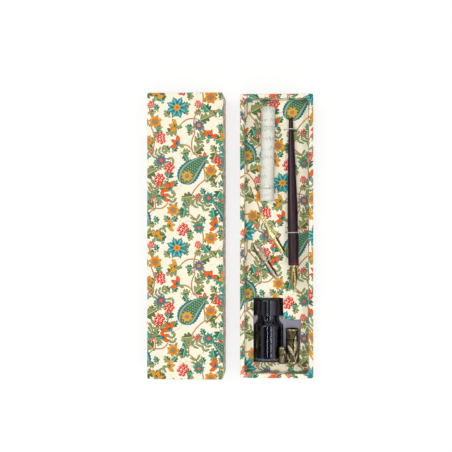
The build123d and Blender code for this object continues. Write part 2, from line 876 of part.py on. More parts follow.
string_radius = string_diameter / 2
string_depth = paper + card_thick + groove_depth / 2
string_solids = {}
for name, facts in strings.items():
    upright = string_plane(facts)
    left, right = facts["left"], facts["right"]
    round_radius = facts["radius"] + string_gap + string_radius
    slope_left = tangent_slope(left, facts["height"], round_radius)
    slope_right = tangent_slope(right, facts["height"], round_radius)
    apex_x = (slope_right * right - slope_left * left) / (slope_left + slope_right)
    apex = (apex_x, string_rise + slope_left * (apex_x + left))
    with BuildPart() as string:
        with BuildLine(upright) as route:
            FilletPolyline(
                (-knot_half, -string_depth),
                (-left, -string_depth),
                (-left, string_rise),
                apex,
                (right, string_rise),
                (right, -string_depth),
                (knot_half, -string_depth),
                radius=[groove_bend, hole_bend, round_radius, hole_bend, groove_bend],
            )
        loop = route.wires()[0]
        with BuildSketch(Plane(origin=loop @ 0, z_dir=loop % 0)):
            Circle(string_radius)
        sweep(path=loop)
        knot = upright.from_local_coords(Vector(0, -string_depth, 0))
        with Locations(Plane(origin=knot, x_dir=upright.y_dir, z_dir=upright.x_dir)):
            Sphere(knot_radius)
    string_solids[name] = string
    print(f"{name}: {loop.length:.1f} mm long")

# Openings of the tray: the bottle recess, the stand's pocket beside it and the string holes
recess_low = place(side_margin, foot_margin)
recess_high = place(side_margin + recess_width, foot_margin + recess_length)
pocket_low_y = foot_y + foot_margin - pocket_foot_extra
pocket_high_y = stand_y + stalk_length + stand_mouth_gap
pocket_left_x = wall_x + pocket_left
pocket_right_x = pocket_left_x + pocket_width


def recess_outline(height):
    """Bottle recess: a plain rectangle."""
    with BuildSketch(Plane.XY.offset(height)) as outline:
        with Locations(
            ((recess_low[0] + recess_high[0]) / 2, (recess_low[1] + recess_high[1]) / 2)
        ):
            Rectangle(recess_width, recess_length)
    return outline.sketch


def pocket_outline(height):
    """Stand's pocket: open to the recess on its left, its right side cut at a slant."""
    with BuildSketch(Plane.XY.offset(height)) as outline:
        with BuildLine():
            Polyline(
                (pocket_left_x, pocket_low_y),
                (pocket_right_x - pocket_taper, pocket_low_y),
                (pocket_right_x, pocket_high_y),
                (pocket_left_x, pocket_high_y),
                close=True,
            )
        make_face()
    return outline.sketch


def hole_outlines(height):
    """The string holes."""
    with BuildSketch(Plane.XY.offset(height)) as outline:
        for facts in strings.values():
            with Locations(*hole_places(facts)):
                Circle(string_hole)
    return outline.sketch


# Insert: a foam block, a card tray over it and the printed paper that covers the card
foam_width = liner_inside_width - 2 * foam_fit
foam_length = liner_inside_length - 2 * foam_fit
with BuildPart() as insert_foam:
    extrude(
        rounded(foam_width, foam_length, liner_inside_corner, seat_height, base_x),
        amount=foam_top - seat_height,
    )
    extrude(recess_outline(seat_height), amount=foam_top - seat_height, mode=Mode.SUBTRACT)
    extrude(pocket_outline(pocket_floor), amount=foam_top - pocket_floor, mode=Mode.SUBTRACT)
    with BuildSketch(Plane.XY.offset(foam_top)):
        for facts in strings.values():
            turn = radians(facts["angle"])
            shift = (facts["right"] - facts["left"]) / 2
            with Locations(
                (facts["point"].X + shift * cos(turn), facts["point"].Y + shift * sin(turn))
            ):
                SlotCenterToCenter(
                    facts["left"] + facts["right"], groove_width, rotation=facts["angle"]
                )
    extrude(amount=-groove_depth, mode=Mode.SUBTRACT)

card_width = liner_inside_width - 2 * card_fit
card_length = liner_inside_length - 2 * card_fit
card_top = platform_height - paper
with BuildPart() as insert_card:
    extrude(
        rounded(card_width, card_length, liner_inside_corner, foam_top, base_x),
        amount=base_board_top - foam_top,
    )
    extrude(
        rounded(
            card_width - 2 * card_thick,
            card_length - 2 * card_thick,
            tray_corner + paper,
            card_top,
            base_x,
        ),
        amount=base_board_top - card_top,
        mode=Mode.SUBTRACT,
    )
    for outline in (recess_outline, pocket_outline, hole_outlines):
        extrude(outline(foam_top), amount=card_thick, mode=Mode.SUBTRACT)

with BuildPart() as insert_wrap:
    extrude(
        rounded(
            card_width - 2 * card_thick,
            card_length - 2 * card_thick,
            tray_corner + paper,
            card_top,
            base_x,
        ),
        amount=base_board_top - card_top,
    )
    extrude(
        rounded(tray_width, tray_length, tray_corner, platform_height, base_x),
        amount=base_board_top - platform_height,
        mode=Mode.SUBTRACT,
    )
    for outline in (recess_outline, pocket_outline, hole_outlines):
        extrude(outline(card_top), amount=paper, mode=Mode.SUBTRACT)

pieces = {
    "lid_board": lid_board,
    "lid_corner_tapes": lid_corner_tapes,
    "lid_wrap": lid_wrap,
    "lid_liner": lid_liner,
    "base_board": base_board,
    "base_corner_tapes": base_corner_tapes,
    "base_wrap": base_wrap,
    "base_bottom_paper": base_bottom_paper,
    "base_liner": base_liner,
    "insert_foam": insert_foam,
    "insert_card": insert_card,
    "insert_wrap": insert_wrap,
    "scroll": scroll,
    "pen_holder": pen_holder,
    "pen_ferrule": pen_ferrule,
    "pen_nib": pen_nib,
    "spare_nib_gold": spare_nib_gold,
    "spare_nib_steel": spare_nib_steel,
    "nib_reservoir": nib_reservoir,
    "bottle_glass": bottle_glass,
    "bottle_ink": bottle_ink,
    "bottle_cap": bottle_cap,
    "cap_liner": cap_liner,
    "pen_stand": pen_stand,
}
pieces.update(string_solids)
os.makedirs("parts", exist_ok=True)
for name, piece in pieces.items():
    piece.part.label = name
    export_step(piece.part, f"parts/{name}.step")
print(f"base {base_width:.2f} x {base_length:.2f} x {base_height:.2f}")
print(f"lid {lid_width:.2f} x {lid_length:.2f} x {lid_height:.2f}")
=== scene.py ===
from math import asin, atan2, ceil, cos, degrees, hypot, pi, radians, sin, sqrt, tan
from random import Random

import bpy
import bmesh
from mathutils import Matrix, Vector


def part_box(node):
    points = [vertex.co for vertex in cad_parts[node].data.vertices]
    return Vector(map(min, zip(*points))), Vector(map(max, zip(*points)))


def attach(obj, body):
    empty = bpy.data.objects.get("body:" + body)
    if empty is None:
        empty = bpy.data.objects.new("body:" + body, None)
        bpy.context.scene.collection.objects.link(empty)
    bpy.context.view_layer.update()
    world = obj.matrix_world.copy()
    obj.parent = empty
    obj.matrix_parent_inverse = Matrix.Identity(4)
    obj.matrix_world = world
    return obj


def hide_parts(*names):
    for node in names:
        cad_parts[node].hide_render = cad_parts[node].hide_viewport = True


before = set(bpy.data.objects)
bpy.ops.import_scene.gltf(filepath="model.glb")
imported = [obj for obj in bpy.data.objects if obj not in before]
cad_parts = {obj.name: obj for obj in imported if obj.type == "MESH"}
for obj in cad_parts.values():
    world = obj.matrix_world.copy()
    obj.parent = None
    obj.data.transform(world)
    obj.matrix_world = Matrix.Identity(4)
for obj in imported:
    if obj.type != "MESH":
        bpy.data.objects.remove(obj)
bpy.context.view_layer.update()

# Lid wrap: one sheet of printed paper glued over the lid's board tray. The print runs on
# from the top down each side, and the ends are folded round the corners under the end flaps.
MM = 0.001
PAPER = 0.15 * MM


class Value:
    """A socket of a material: arithmetic on it adds Math nodes."""

    def __init__(self, tree, socket):
        self.tree = tree
        self.socket = socket

    def node(self, kind, settings=None, inputs=None, output=0):
        """Add any node: its settings first, then the values or links of its sockets."""
        made = self.tree.nodes.new("ShaderNode" + kind)
        for name, setting in (settings or {}).items():
            if name == "stops":
                ramp = made.color_ramp
                for place, colour in setting[:-2]:
                    ramp.elements.new(place)
                for element, (place, colour) in zip(ramp.elements, setting):
                    element.position = place
                    element.color = colour
            else:
                setattr(made, name, setting)
        for key, value in (inputs or {}).items():
            if isinstance(value, Value):
                self.tree.links.new(value.socket, made.inputs[key])
            else:
                made.inputs[key].default_value = value
        return Value(self.tree, made.outputs[output])

    def output(self, key):
        """Another output of the same node."""
        return Value(self.tree, self.socket.node.outputs[key])

    def maths(self, operation, *others):
        return self.node("Math", {"operation": operation}, dict(enumerate((self, *others))))

    def vector(self, operation, *others):
        number = operation in ("DOT_PRODUCT", "LENGTH", "DISTANCE")
        inputs = dict(enumerate((self, *others)))
        return self.node("VectorMath", {"operation": operation}, inputs, int(number))

    def __add__(self, other):
        return self.maths("ADD", other)

    def __mul__(self, other):
        return self.maths("MULTIPLY", other)

    def __sub__(self, other):
        return self.maths("SUBTRACT", other)

    def __rsub__(self, other):
        return self.node("Math", {"operation": "SUBTRACT"}, {0: other, 1: self})

    def __truediv__(self, other):
        return self.maths("DIVIDE", other)

    def __gt__(self, other):
        return self.maths("GREATER_THAN", other)

    def __lt__(self, other):
        return self.maths("LESS_THAN", other)

    def __abs__(self):
        return self.maths("ABSOLUTE")

    __radd__ = __add__
    __rmul__ = __mul__


def shade(code):
    """Colour from its six-digit code, as the shaders take it."""
    parts = [int(code[at:at + 2], 16) / 255 for at in (0, 2, 4)]
    return (*[p / 12.92 if p < 0.04045 else ((p + 0.055) / 1.055) ** 2.4 for p in parts], 1)


def cover(under, over, mask):
    """Colour over another where the mask is 1."""
    return mask.node("Mix", {"data_type": "RGBA"}, {0: mask, 6: under, 7: over}, 2)


def finish(name, **fixed):
    """New material: gives it, its shader node and a first value, the object's coordinates."""
    material = bpy.data.materials.new(name)
    material.use_nodes = True
    tree = material.node_tree
    shader = tree.nodes["Principled BSDF"]
    for socket, value in fixed.items():
        shader.inputs[socket.replace("_", " ")].default_value = value
    start = Value(tree, None)
    return material, shader, start.node("TexCoord", output=3)


def feed(shader, **values):
    """Link values to a shader's sockets."""
    for socket, value in values.items():
        value.tree.links.new(value.socket, shader.inputs[socket.replace("_", " ")])


def noise(where, scale, detail=3.0, roughness=0.5):
    """Even noise from 0 to 1; the scale is in waves to the millimetre."""
    settings = {"Scale": scale / MM, "Detail": detail, "Roughness": roughness, "Vector": where}
    return where.node("TexNoise", inputs=settings)


def bump(height, depth, strength=1.0, under=None):
    """Normal raised by a height from 0 to 1 that is this deep in millimetres."""
    inputs = {"Height": height, "Distance": depth * MM, "Strength": strength}
    if under is not None:
        inputs["Normal"] = under
    return height.node("Bump", inputs=inputs)


# The print is drawn in millimetres on the flat sheet, and repeats over a tile.
TILE = (94.0, 141.0)
CREAM = shade("FBF5DF")
VINE, VINE_EDGE = shade("CC8A40"), shade("A06A30")
SAGE, SAGE_DARK, LEAF_EDGE = shade("8C9B5E"), shade("5C6F3C"), shade("83652E")
GREEN, DEEP_GREEN = shade("3F9C7B"), shade("1D6F58")
TEAL, PALE_TEAL = shade("009CA0"), shade("7CC9C2")
DARK_TEAL, DEEP_TEAL = shade("0A7C80"), shade("005F7C")
GOLD, DEEP_GOLD = shade("EFA92B"), shade("C97F1E")
ORANGE, RED, CORAL = shade("EE6B2E"), shade("D9432B"), shade("E4473F")
SLATE, DARK_SLATE, NAVY = shade("66788F"), shade("43566F"), shade("123C68")
PINK, BEIGE, GREY = shade("FBD9CE"), shade("ECDCAC"), shade("8B8478")


def stencil(**extra):
    """Make a drawing into a node group that prints it over the ink so far. It is given
    where it is across and along the motif, whose size is 1, and what else it names."""

    def cut(draw):
        tree = bpy.data.node_groups.new(draw.__name__, "ShaderNodeTree")
        kinds = {"Ink": "Color", "Sheet": "Vector", "Place": "Vector", "Out": "Vector"}
        kinds.update({"Up": "Vector", "High": "Vector", "Low": "Vector"}, **extra)
        for name, kind in kinds.items():
            tree.interface.new_socket(name, in_out="INPUT", socket_type="NodeSocket" + kind)
        tree.interface.new_socket("Ink", in_out="OUTPUT", socket_type="NodeSocketColor")
        entry = tree.nodes.new("NodeGroupInput")
        given = {name: Value(tree, entry.outputs[name]) for name in kinds}
        moved = given["Sheet"].vector("SUBTRACT", given["Place"])
        near = moved.vector("WRAP", given["High"], given["Low"])
        across = near.vector("DOT_PRODUCT", given["Out"])
        along = near.vector("DOT_PRODUCT", given["Up"])
        ink = draw(given["Ink"], across, along, *[given[name] for name in extra])
        tree.links.new(ink.socket, tree.nodes.new("NodeGroupOutput").inputs[0])

        def print_at(ink, sheet, x, y, turn, size, *values, times=(1, 1)):
            """Print it once in each tile, or that many times across and along it."""
            out, up = cos(radians(turn)) / size, sin(radians(turn)) / size
            high = [side / count / 2 for side, count in zip(TILE, times)]
            inputs = {"Ink": ink, "Sheet": sheet, "Place": (x, y, 0), "Out": (out, up, 0)}
            inputs.update({"Up": (-up, out, 0), "High": (*high, 1)}, **dict(zip(extra, values)))
            inputs["Low"] = (-high[0], -high[1], -1)
            return sheet.node("Group", {"node_tree": tree}, inputs)

        return print_at

    return cut


def distance(across, along):
    return across.node("CombineXYZ", inputs={0: across, 1: along}).vector("LENGTH")


def blade(across, along, width):
    """How far inside a leaf a point is; the leaf runs from 0 to 1 along."""
    return along * (1 - along) * 4 * width - abs(across)


@stencil(Bow="Float", Thick="Float")
def draw_twig(ink, across, along, bow, thick):
    """Arched twig with a darker edge."""
    rise = along * (1 - along)
    off = abs(across - rise * 4 * bow)
    inside = rise > 0
    ink = cover(ink, VINE_EDGE, (off < thick) * inside)
    return cover(ink, VINE, (off < thick * 0.6) * inside)


def draw_branch(ink, sheet, start, end, bow, thick=0.62):
    """Twig between two places of the tile."""
    dx, dy = end[0] - start[0], end[1] - start[1]
    long = hypot(dx, dy)
    return draw_twig(ink, sheet, *start, degrees(atan2(dy, dx)) - 90, long, bow, thick / long)


@stencil(Width="Float", Fill="Color", Dark="Color")
def draw_leaf(ink, across, along, width, fill, dark):
    """Lobed leaf with a darker half, a pale rib and a thin edge."""
    lobes = abs((along * 10.5 - abs(across) * 4).maths("COSINE"))
    inside = blade(across, along, width) - (1 - lobes) * width * 0.55
    flesh = inside > 0.02
    ink = cover(ink, LEAF_EDGE, inside > -0.015)
    ink = cover(ink, fill, flesh)
    ink = cover(ink, dark, flesh * (across > 0.02))
    return cover(ink, BEIGE, (abs(across) < 0.014) * flesh)


@stencil(Pairs="Float", Fill="Color", Dark="Color")
def draw_sprig(ink, across, along, pairs, fill, dark):
    """Stem with pairs of narrow leaves that slope up and out."""
    side = abs(across)
    cell = (along - side * 0.75) * pairs
    out = side * (1 / 0.34)
    width = out * (1 - out) * 1.5 - abs(cell.maths("FRACT") - 0.5)
    inside = width * (cell > 0) * (cell < pairs)
    ink = cover(ink, LEAF_EDGE, (side < 0.018) * (along > 0) * (along < 1))
    ink = cover(ink, dark, inside > 0)
    return cover(ink, fill, inside > 0.09)


def petals(across, along, count, spread=1.0):
    """Distance from a flower's middle, the angle round it and how near a petal's tip it is."""
    away = distance(across, along)
    angle = across.maths("ARCTAN2", along)
    tip = (angle * count * (1 / (2 * pi * spread)) + 0.5).maths("PINGPONG", 0.5) * 2
    return away, angle, tip


@stencil(Count="Float", Outer="Color", Inner="Color", Streak="Color", Heart="Color", Middle="Color")
def draw_rosette(ink, across, along, count, outer, inner, streak, heart, middle):
    """Open flower of pointed petals, in two rings, with a star and a round middle."""
    away, angle, tip = petals(across, along, count)
    frill = (angle * count * 3).maths("COSINE") * 0.035
    edge = tip * 0.34 + 0.62 + frill
    ink = cover(ink, LEAF_EDGE, away < edge + 0.05)
    ink = cover(ink, outer, away < edge)
    ink = cover(ink, streak, (tip > 0.8) * (away < edge - 0.16) * (away > 0.3))
    ink = cover(ink, inner, away < (1 - tip) * 0.3 + 0.34)
    ink = cover(ink, heart, away < tip * 0.2 + 0.2)
    return cover(ink, middle, away < 0.16)


@stencil(Fill="Color", Dark="Color", Calyx="Color")
def draw_tulip(ink, across, along, fill, dark, calyx):
    """Half-open flower of three petals from a short cup."""
    away, angle, tip = petals(across, along + 0.1, 3, 0.36)
    inside = abs(angle) < 1.08
    edge = tip * 0.45 + 0.6
    ink = cover(ink, DEEP_GOLD, (away < edge + 0.05) * inside)
    ink = cover(ink, dark, (away < edge) * inside)
    ink = cover(ink, fill, (away < edge - 0.08) * inside * (tip > 0.25))
    ink = cover(ink, DEEP_GOLD, (away < edge - 0.3) * inside * (tip > 0.86))
    cup = (abs(angle) * -0.25 + 0.5) > away
    ink = cover(ink, NAVY, cup * inside)
    ink = cover(ink, calyx, (away < 0.33) * inside)
    bud = blade(across, along * 1.6 + 1.0, 0.2)
    return cover(ink, SAGE, bud > 0)


BERRIES = [
    (0.0, 0.78), (0.46, 0.62), (-0.4, 0.44), (0.1, 0.3), (0.64, 0.16), (-0.66, 0.0),
    (-0.18, -0.14), (0.34, -0.2), (0.08, -0.62), (-0.4, -0.56),
]


@stencil()
def draw_berries(ink, across, along):
    """Bunch of round berries with a pale highlight each."""
    stalk = (abs(across) < 0.06) * (along > 0) * (along < 1.15)
    ink = cover(ink, VINE, stalk)
    spot = across.node("CombineXYZ", inputs={0: across, 1: along})
    away, shine = 1, 1
    for x, y in BERRIES:
        away = spot.vector("DISTANCE", (x, y, 0)).maths("MINIMUM", away)
        shine = spot.vector("DISTANCE", (x - 0.07, y + 0.07, 0)).maths("MINIMUM", shine)
    ink = cover(ink, RED, away < 0.25)
    ink = cover(ink, CORAL, away < 0.205)
    return cover(ink, PINK, shine < 0.08)


@stencil(Lean="Float")
def draw_paisley(ink, across, along, lean):
    """Curled drop with a fringe, bands of teal and gold, scales and a flower in its bowl."""
    bent = across - along * abs(along) * lean * 0.13
    share = (along + 1) * (1 / 4.2)
    width = share.maths("SQRT") * (1 - share) * 2.69
    part = abs(bent) / width.maths("MAXIMUM", 0.001)
    fringe = abs((along * 3.1 + part).maths("FRACT") - 0.5) * 0.2 + 1.12
    ink = cover(ink, DEEP_TEAL, (part < fringe) * (share > 0.02) * (share < 0.98))
    body = (share > 0) * (share < 1)
    ink = cover(ink, TEAL, (part < 1) * body)
    ink = cover(ink, GOLD, (part < 0.86) * (part > 0.78) * body)
    ink = cover(ink, GREEN, (part < 0.74) * body)
    row = along * 3.6
    shift = row.maths("FLOOR") * 0.5
    column = (across * 3.6 + shift).maths("FRACT") - 0.5
    scales = distance(column, row.maths("FRACT") - 0.5)
    inner = (part < 0.66) * body
    ink = cover(ink, DEEP_GREEN, (scales > 0.36) * inner)
    ink = cover(ink, GOLD, (scales < 0.2) * inner)
    ink = cover(ink, NAVY, (scales < 0.1) * inner)
    away, angle, tip = petals(bent, along, 8)
    ink = cover(ink, DEEP_GOLD, away < tip * 0.18 + 0.5)
    ink = cover(ink, GOLD, away < tip * 0.2 + 0.42)
    ink = cover(ink, TEAL, away < 0.26)
    return cover(ink, ORANGE, away < 0.13)


@stencil()
def draw_curl(ink, across, along):
    """Pale curl in the ground of the print."""
    away, angle, tip = petals(across, along, 1)
    winds = (away * 1.7 - angle * (1 / (2 * pi))).maths("FRACT")
    line = (winds < 0.16) * (away < 1) * (away > 0.18)
    return cover(ink, BEIGE, line)


def draw_print(sheet):
    """The whole print, from its ground up."""
    ink = sheet.node("RGB")
    ink.socket.default_value = CREAM
    for x, y, turn in [(10, 20, 0), (22, 48, 200)]:
        ink = draw_curl(ink, sheet, x, y, turn, 8.5, times=(2, 2))
    fillers = [
        (5, 14, 40, 9.5, (2, 4)), (27, 4, 160, 9.0, (3, 4)), (16, 25, 285, 10.0, (2, 3)),
        (38, 20, 100, 9.0, (2, 5)),
    ]
    for x, y, turn, long, times in fillers:
        ink = draw_leaf(ink, sheet, x, y, turn, long, 0.4, SAGE, SAGE_DARK, times=times)
        ink = draw_leaf(ink, sheet, x + 2, y, turn - 75, long, 0.36, GREEN, DEEP_GREEN, times=times)
    ink = draw_berries(ink, sheet, 33, 27, 20, 4.0, times=(2, 3))
    twigs = [
        ((30, -2), (38, 28), -0.14), ((38, 28), (24, 58), 0.16), ((24, 58), (40, 92), -0.15),
        ((40, 92), (28, 120), 0.13), ((28, 120), (30, 139), -0.12),
        ((80, 4), (70, 34), 0.14), ((70, 34), (84, 64), -0.16), ((84, 64), (70, 96), 0.13),
        ((70, 96), (82, 124), -0.15), ((82, 124), (80, 145), 0.1),
        ((38, 28), (56, 22), 0.22), ((24, 58), (8, 62), -0.2), ((40, 92), (54, 98), 0.2),
        ((28, 120), (12, 126), 0.25), ((70, 34), (54, 46), -0.22), ((84, 64), (97, 70), 0.2),
        ((70, 96), (58, 84), -0.24), ((82, 124), (62, 132), 0.2), ((33, 12), (14, 4), 0.2),
    ]
    for start, end, bow in twigs:
        ink = draw_branch(ink, sheet, start, end, bow)
    leaves = [
        (39, 30, -60, 16, 0.36), (24, 56, 62, 15, 0.36), (41, 90, -40, 16, 0.36),
        (28, 118, -48, 15, 0.38), (70, 36, -70, 15, 0.36), (84, 62, 50, 16, 0.36),
        (71, 95, -62, 17, 0.36), (82, 122, 46, 15, 0.36), (33, 10, -66, 15, 0.36),
        (80, 6, 70, 16, 0.36), (14, 4, 118, 15, 0.38), (54, 99, -110, 14, 0.38),
        (30, 76, 96, 14, 0.36), (86, 84, -84, 13, 0.38), (52, 122, 160, 14, 0.36),
    ]
    for x, y, turn, long, width in leaves:
        ink = draw_leaf(ink, sheet, x, y, turn, long, width, SAGE, SAGE_DARK)
    sprigs = [
        (36, 38, 18, 17, 4), (26, 66, -64, 16, 4), (69, 42, 36, 16, 4), (78, 74, -20, 17, 4),
        (79, 116, -66, 15, 4), (31, 128, -34, 17, 4), (76, 14, 66, 15, 4), (9, 63, 10, 14, 3),
        (38, 60, -30, 14, 3), (8, 116, 150, 13, 3), (60, 100, 30, 13, 3), (92, 46, 170, 13, 3),
    ]
    for x, y, turn, long, pairs in sprigs:
        ink = draw_sprig(ink, sheet, x, y, turn, long, pairs, SAGE, SAGE_DARK)
    green_leaves = [
        (62, 131, 80, 14), (57, 83, 150, 13), (50, 52, 10, 13), (92, 28, 20, 13),
        (20, 66, 170, 12), (46, 18, 40, 12), (74, 82, 200, 12), (2, 92, -20, 12),
    ]
    for x, y, turn, long in green_leaves:
        ink = draw_leaf(ink, sheet, x, y, turn, long, 0.42, GREEN, DEEP_GREEN)
    berries = [
        (18, 42, 0, 7.0), (54, 112, 30, 6.4), (88, 92, 10, 7.0), (56, 66, 50, 6.4),
        (4, 104, 0, 6.4), (62, 22, -20, 5.6), (90, 134, 40, 6.4),
    ]
    for bunch in berries:
        ink = draw_berries(ink, sheet, *bunch)
    red_tulips = [
        (14, 128, 60, 9.5), (57, 20, -100, 9.5), (53, 46, 70, 9.5), (44, 134, -20, 9.5),
        (90, 74, -60, 9.0), (6, 82, 40, 9.5), (40, 112, 50, 8.5), (66, 74, 10, 8.5),
    ]
    for tulip in red_tulips:
        ink = draw_tulip(ink, sheet, *tulip, ORANGE, RED, TEAL)
    for tulip in [(12, 5, 80, 9.0), (62, 134, 50, 9.0), (84, 34, -30, 9.0), (2, 46, -80, 8.5)]:
        ink = draw_tulip(ink, sheet, *tulip, GOLD, DEEP_GOLD, SAGE)
    for x, y, turn, lean in [(22, 96, -24, 1), (70, 52, 28, -1)]:
        ink = draw_paisley(ink, sheet, x, y, turn, 8.8, lean)
    large_teal = (8, TEAL, DARK_TEAL, PALE_TEAL, GOLD)
    green_star = (9, GREEN, DEEP_TEAL, TEAL, ORANGE, ORANGE)
    slate_star = (10, SLATE, DARK_SLATE, SLATE)
    gold_daisy = (7, GOLD, DEEP_GOLD, ORANGE, GREY, GREY)
    rosettes = [
        (66, 116, 0, 13.5, *large_teal, GOLD), (12, 24, 20, 11.0, *large_teal, ORANGE),
        (44, 74, 10, 6.6, *green_star), (90, 112, 0, 6.2, *slate_star, ORANGE, ORANGE),
        (34, 6, 0, 6.0, *slate_star, GOLD, ORANGE), (46, 34, 0, 7.0, *gold_daisy),
        (8, 62, 15, 6.6, *gold_daisy), (84, 10, 30, 7.0, *gold_daisy),
        (46, 102, 12, 6.4, 7, GOLD, ORANGE, DEEP_GOLD, GREY, GREY),
        (34, 44, 40, 6.0, *green_star), (76, 132, 20, 6.0, *gold_daisy),
        (64, 88, 5, 5.6, *slate_star, ORANGE, ORANGE),
    ]
    for rosette in rosettes:
        ink = draw_rosette(ink, sheet, *rosette)
    return ink


def printed_paper(name, folds, shift=(0, 0)):
    """Coated printed paper; its white core shows a little along the folds, in millimetres."""
    material, shader, place = finish(name, Roughness=0.5, Specular_IOR_Level=0.22)
    sheet = place.node("UVMap", {"uv_map": "sheet"})
    ink = draw_print(sheet.vector("ADD", (*shift, 0)))
    fibre = noise(place, 1.4, 5, 0.62)
    cloud = noise(place, 0.02, 2)
    inputs = {"Color": ink, "Value": cloud * 0.06 + fibre * 0.05 + 0.945, "Saturation": 1.04}
    ink = ink.node("HueSaturation", inputs=inputs)
    across = sheet.node("SeparateXYZ", inputs={0: sheet})
    rub, rub_fades, rub_starts, rub_rises = 0, 1.6, 0.38, 2.4
    for fold in folds:
        for value, reach in ((across, fold.x), (across.output(1), fold.y)):
            near = 1 - abs(abs(value) - reach) * rub_fades
            rub = near.maths("MAXIMUM", rub)
    rub = (rub.maths("MAXIMUM", 0.0) * noise(place, 0.7, 4) - rub_starts) * rub_rises
    rub = rub.maths("MAXIMUM", 0.0)
    ink = cover(ink, shade("FBF8F0"), rub * 0.8)
    feed(
        shader,
        Base_Color=ink,
        Roughness=fibre * 0.16 + rub * 0.25 + 0.36,
        Normal=bump(fibre + cloud * 0.6, 0.03, 0.5),
    )
    return material


def seat(piece, body, slot, *nodes):
    """Give a piece its body and hide the plain solids that it stands for; its slot is not used."""
    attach(piece, body)
    if nodes:
        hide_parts(*nodes)


def dress(node, material):
    """Give a solid that stays its finish."""
    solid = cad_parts[node]
    solid.data.materials.clear()
    solid.data.materials.append(material)


def make_object(name, mesh, material, smooth_angle=None):
    """New object in the scene; edges under the smooth angle are shaded round."""
    piece = bpy.data.objects.new(name, mesh)
    bpy.context.scene.collection.objects.link(piece)
    mesh.materials.append(material)
    if smooth_angle is not None:
        mesh.shade_smooth()
        mesh.set_sharp_from_angle(angle=radians(smooth_angle))
    return piece


def mesh_from(shape, name):
    """Mesh of a worked shape, which is done with."""
    mesh = bpy.data.meshes.new(name)
    shape.to_mesh(mesh)
    shape.free()
    return mesh


def thicken(piece, thick, offset=-1):
    """Give a piece made as a bare surface the thickness of its sheet."""
    sheet = piece.modifiers.new("thickness", "SOLIDIFY")
    sheet.thickness = thick
    sheet.offset = offset


def ring_points(half, radius, spans, steps=4):
    """Points round a rounded rectangle: place, way out, way along, and along at both ends."""
    points = []
    for quarter in range(4):
        out = Vector((cos(quarter * pi / 2), sin(quarter * pi / 2)))
        way = Vector((-out.y, out.x))
        reach, side = (half.x, half.y) if quarter % 2 == 0 else (half.y, half.x)
        straight = side - radius
        places = []
        for step in range(steps):
            turn = -pi / 4 * (1 - step / steps)
            places.append((turn, -straight, -straight + radius * turn))
        count = spans[quarter % 2]
        for span in range(count + 1):
            along = -straight + 2 * straight * span / count
            places.append((0.0, along, along))
        for step in range(1, steps + 1):
            turn = pi / 4 * step / steps
            places.append((turn, straight, straight + radius * turn))
        rows = []
        for turn, middle, along in places:
            normal = out * cos(turn) + way * sin(turn)
            point = out * (reach - radius) + way * middle + normal * radius
            rows.append((point, normal, along))
        for first, last in zip(rows, rows[1:]):
            points.append((first[0], first[1], out, reach, way, first[2], last[2]))
    return points


def fold_tray(name, middle, half, profile, material, closed):
    """Paper skin folded over a tray. The profile's rings are inset, height, corner radius and
    distance out on the flat sheet from the fold line, or None where the sheet lies flat."""
    pitch = 12 * MM
    shape = bmesh.new()
    sheet = shape.loops.layers.uv.new("sheet")
    rings = []
    spans = [max(1, ceil(2 * side / pitch)) for side in (half.y, half.x)]
    for inset, height, radius, out in profile:
        points = ring_points(half - Vector((inset, inset)), radius, spans)
        corners = [shape.verts.new((middle.x + p[0].x, middle.y + p[0].y, height)) for p in points]
        rings.append((corners, points, out))
    for (low, _, low_out), (high, _, high_out) in zip(rings, rings[1:]):
        count = len(low)
        for at in range(count):
            after = (at + 1) % count
            face = shape.faces.new((low[at], low[after], high[after], high[at]))
            for loop in face.loops:
                lower = loop.vert in (low[at], low[after])
                out = low_out if lower else high_out
                if out is None or (low_out is None or high_out is None) and out == 0:
                    flat = loop.vert.co.xy - middle
                else:
                    first = loop.vert in (low[at], high[at])
                    facts = rings[0][1][at]
                    along = facts[5] if first else facts[6]
                    flat = facts[2] * (half.xy[0 if abs(facts[2].x) > 0.5 else 1] + out)
                    flat = flat + facts[4] * along
                loop[sheet].uv = flat / MM
    if closed:
        face = shape.faces.new(rings[-1][0])
        for loop in face.loops:
            loop[sheet].uv = (loop.vert.co.xy - middle) / MM
    shape.normal_update()
    piece = make_object(name, mesh_from(shape, name), material, 50)
    thicken(piece, PAPER)
    return piece


lid_low, lid_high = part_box("lid_wrap")
lid_middle = ((lid_low + lid_high) / 2).xy
flap_thick = 0.1 * MM
edge_round = 0.45 * MM
lid_half = ((lid_high - lid_low) / 2).xy - Vector((0, flap_thick))
lid_corner = 2.0 * MM


def over_edge(radius, top, corner, steps=4):
    """Rings of a sheet that bends from upright to flat over an edge of this radius."""
    rings = []
    for step in range(steps + 1):
        turn = pi / 2 * step / steps
        inset = radius * (1 - cos(turn))
        out = radius * (pi / 2 - turn) - radius
        rings.append((inset, top - radius * (1 - sin(turn)), corner - inset, out))
    return rings


def upright(low, high, corner, folded, rows):
    """Rings of a sheet that runs straight down from a folded edge."""
    return [
        (0.0, low + (high - low) * row / rows, corner, folded + (high - low) * (1 - row / rows))
        for row in range(rows)
    ]


printed = printed_paper("printed_paper_lid", [lid_half / MM], shift=(20, 36))
bend_out = edge_round * (pi / 2 - 1)
lid_rings = upright(lid_low.z, lid_high.z - edge_round, lid_corner, bend_out, 6)
lid_rings += over_edge(edge_round, lid_high.z, lid_corner)
lid_rings[-1] = (*lid_rings[-1][:3], None)
lid_wrap = fold_tray("lid_print", lid_middle, lid_half, lid_rings, printed, closed=True)
seat(lid_wrap, "lid", "printed_paper", "lid_wrap")


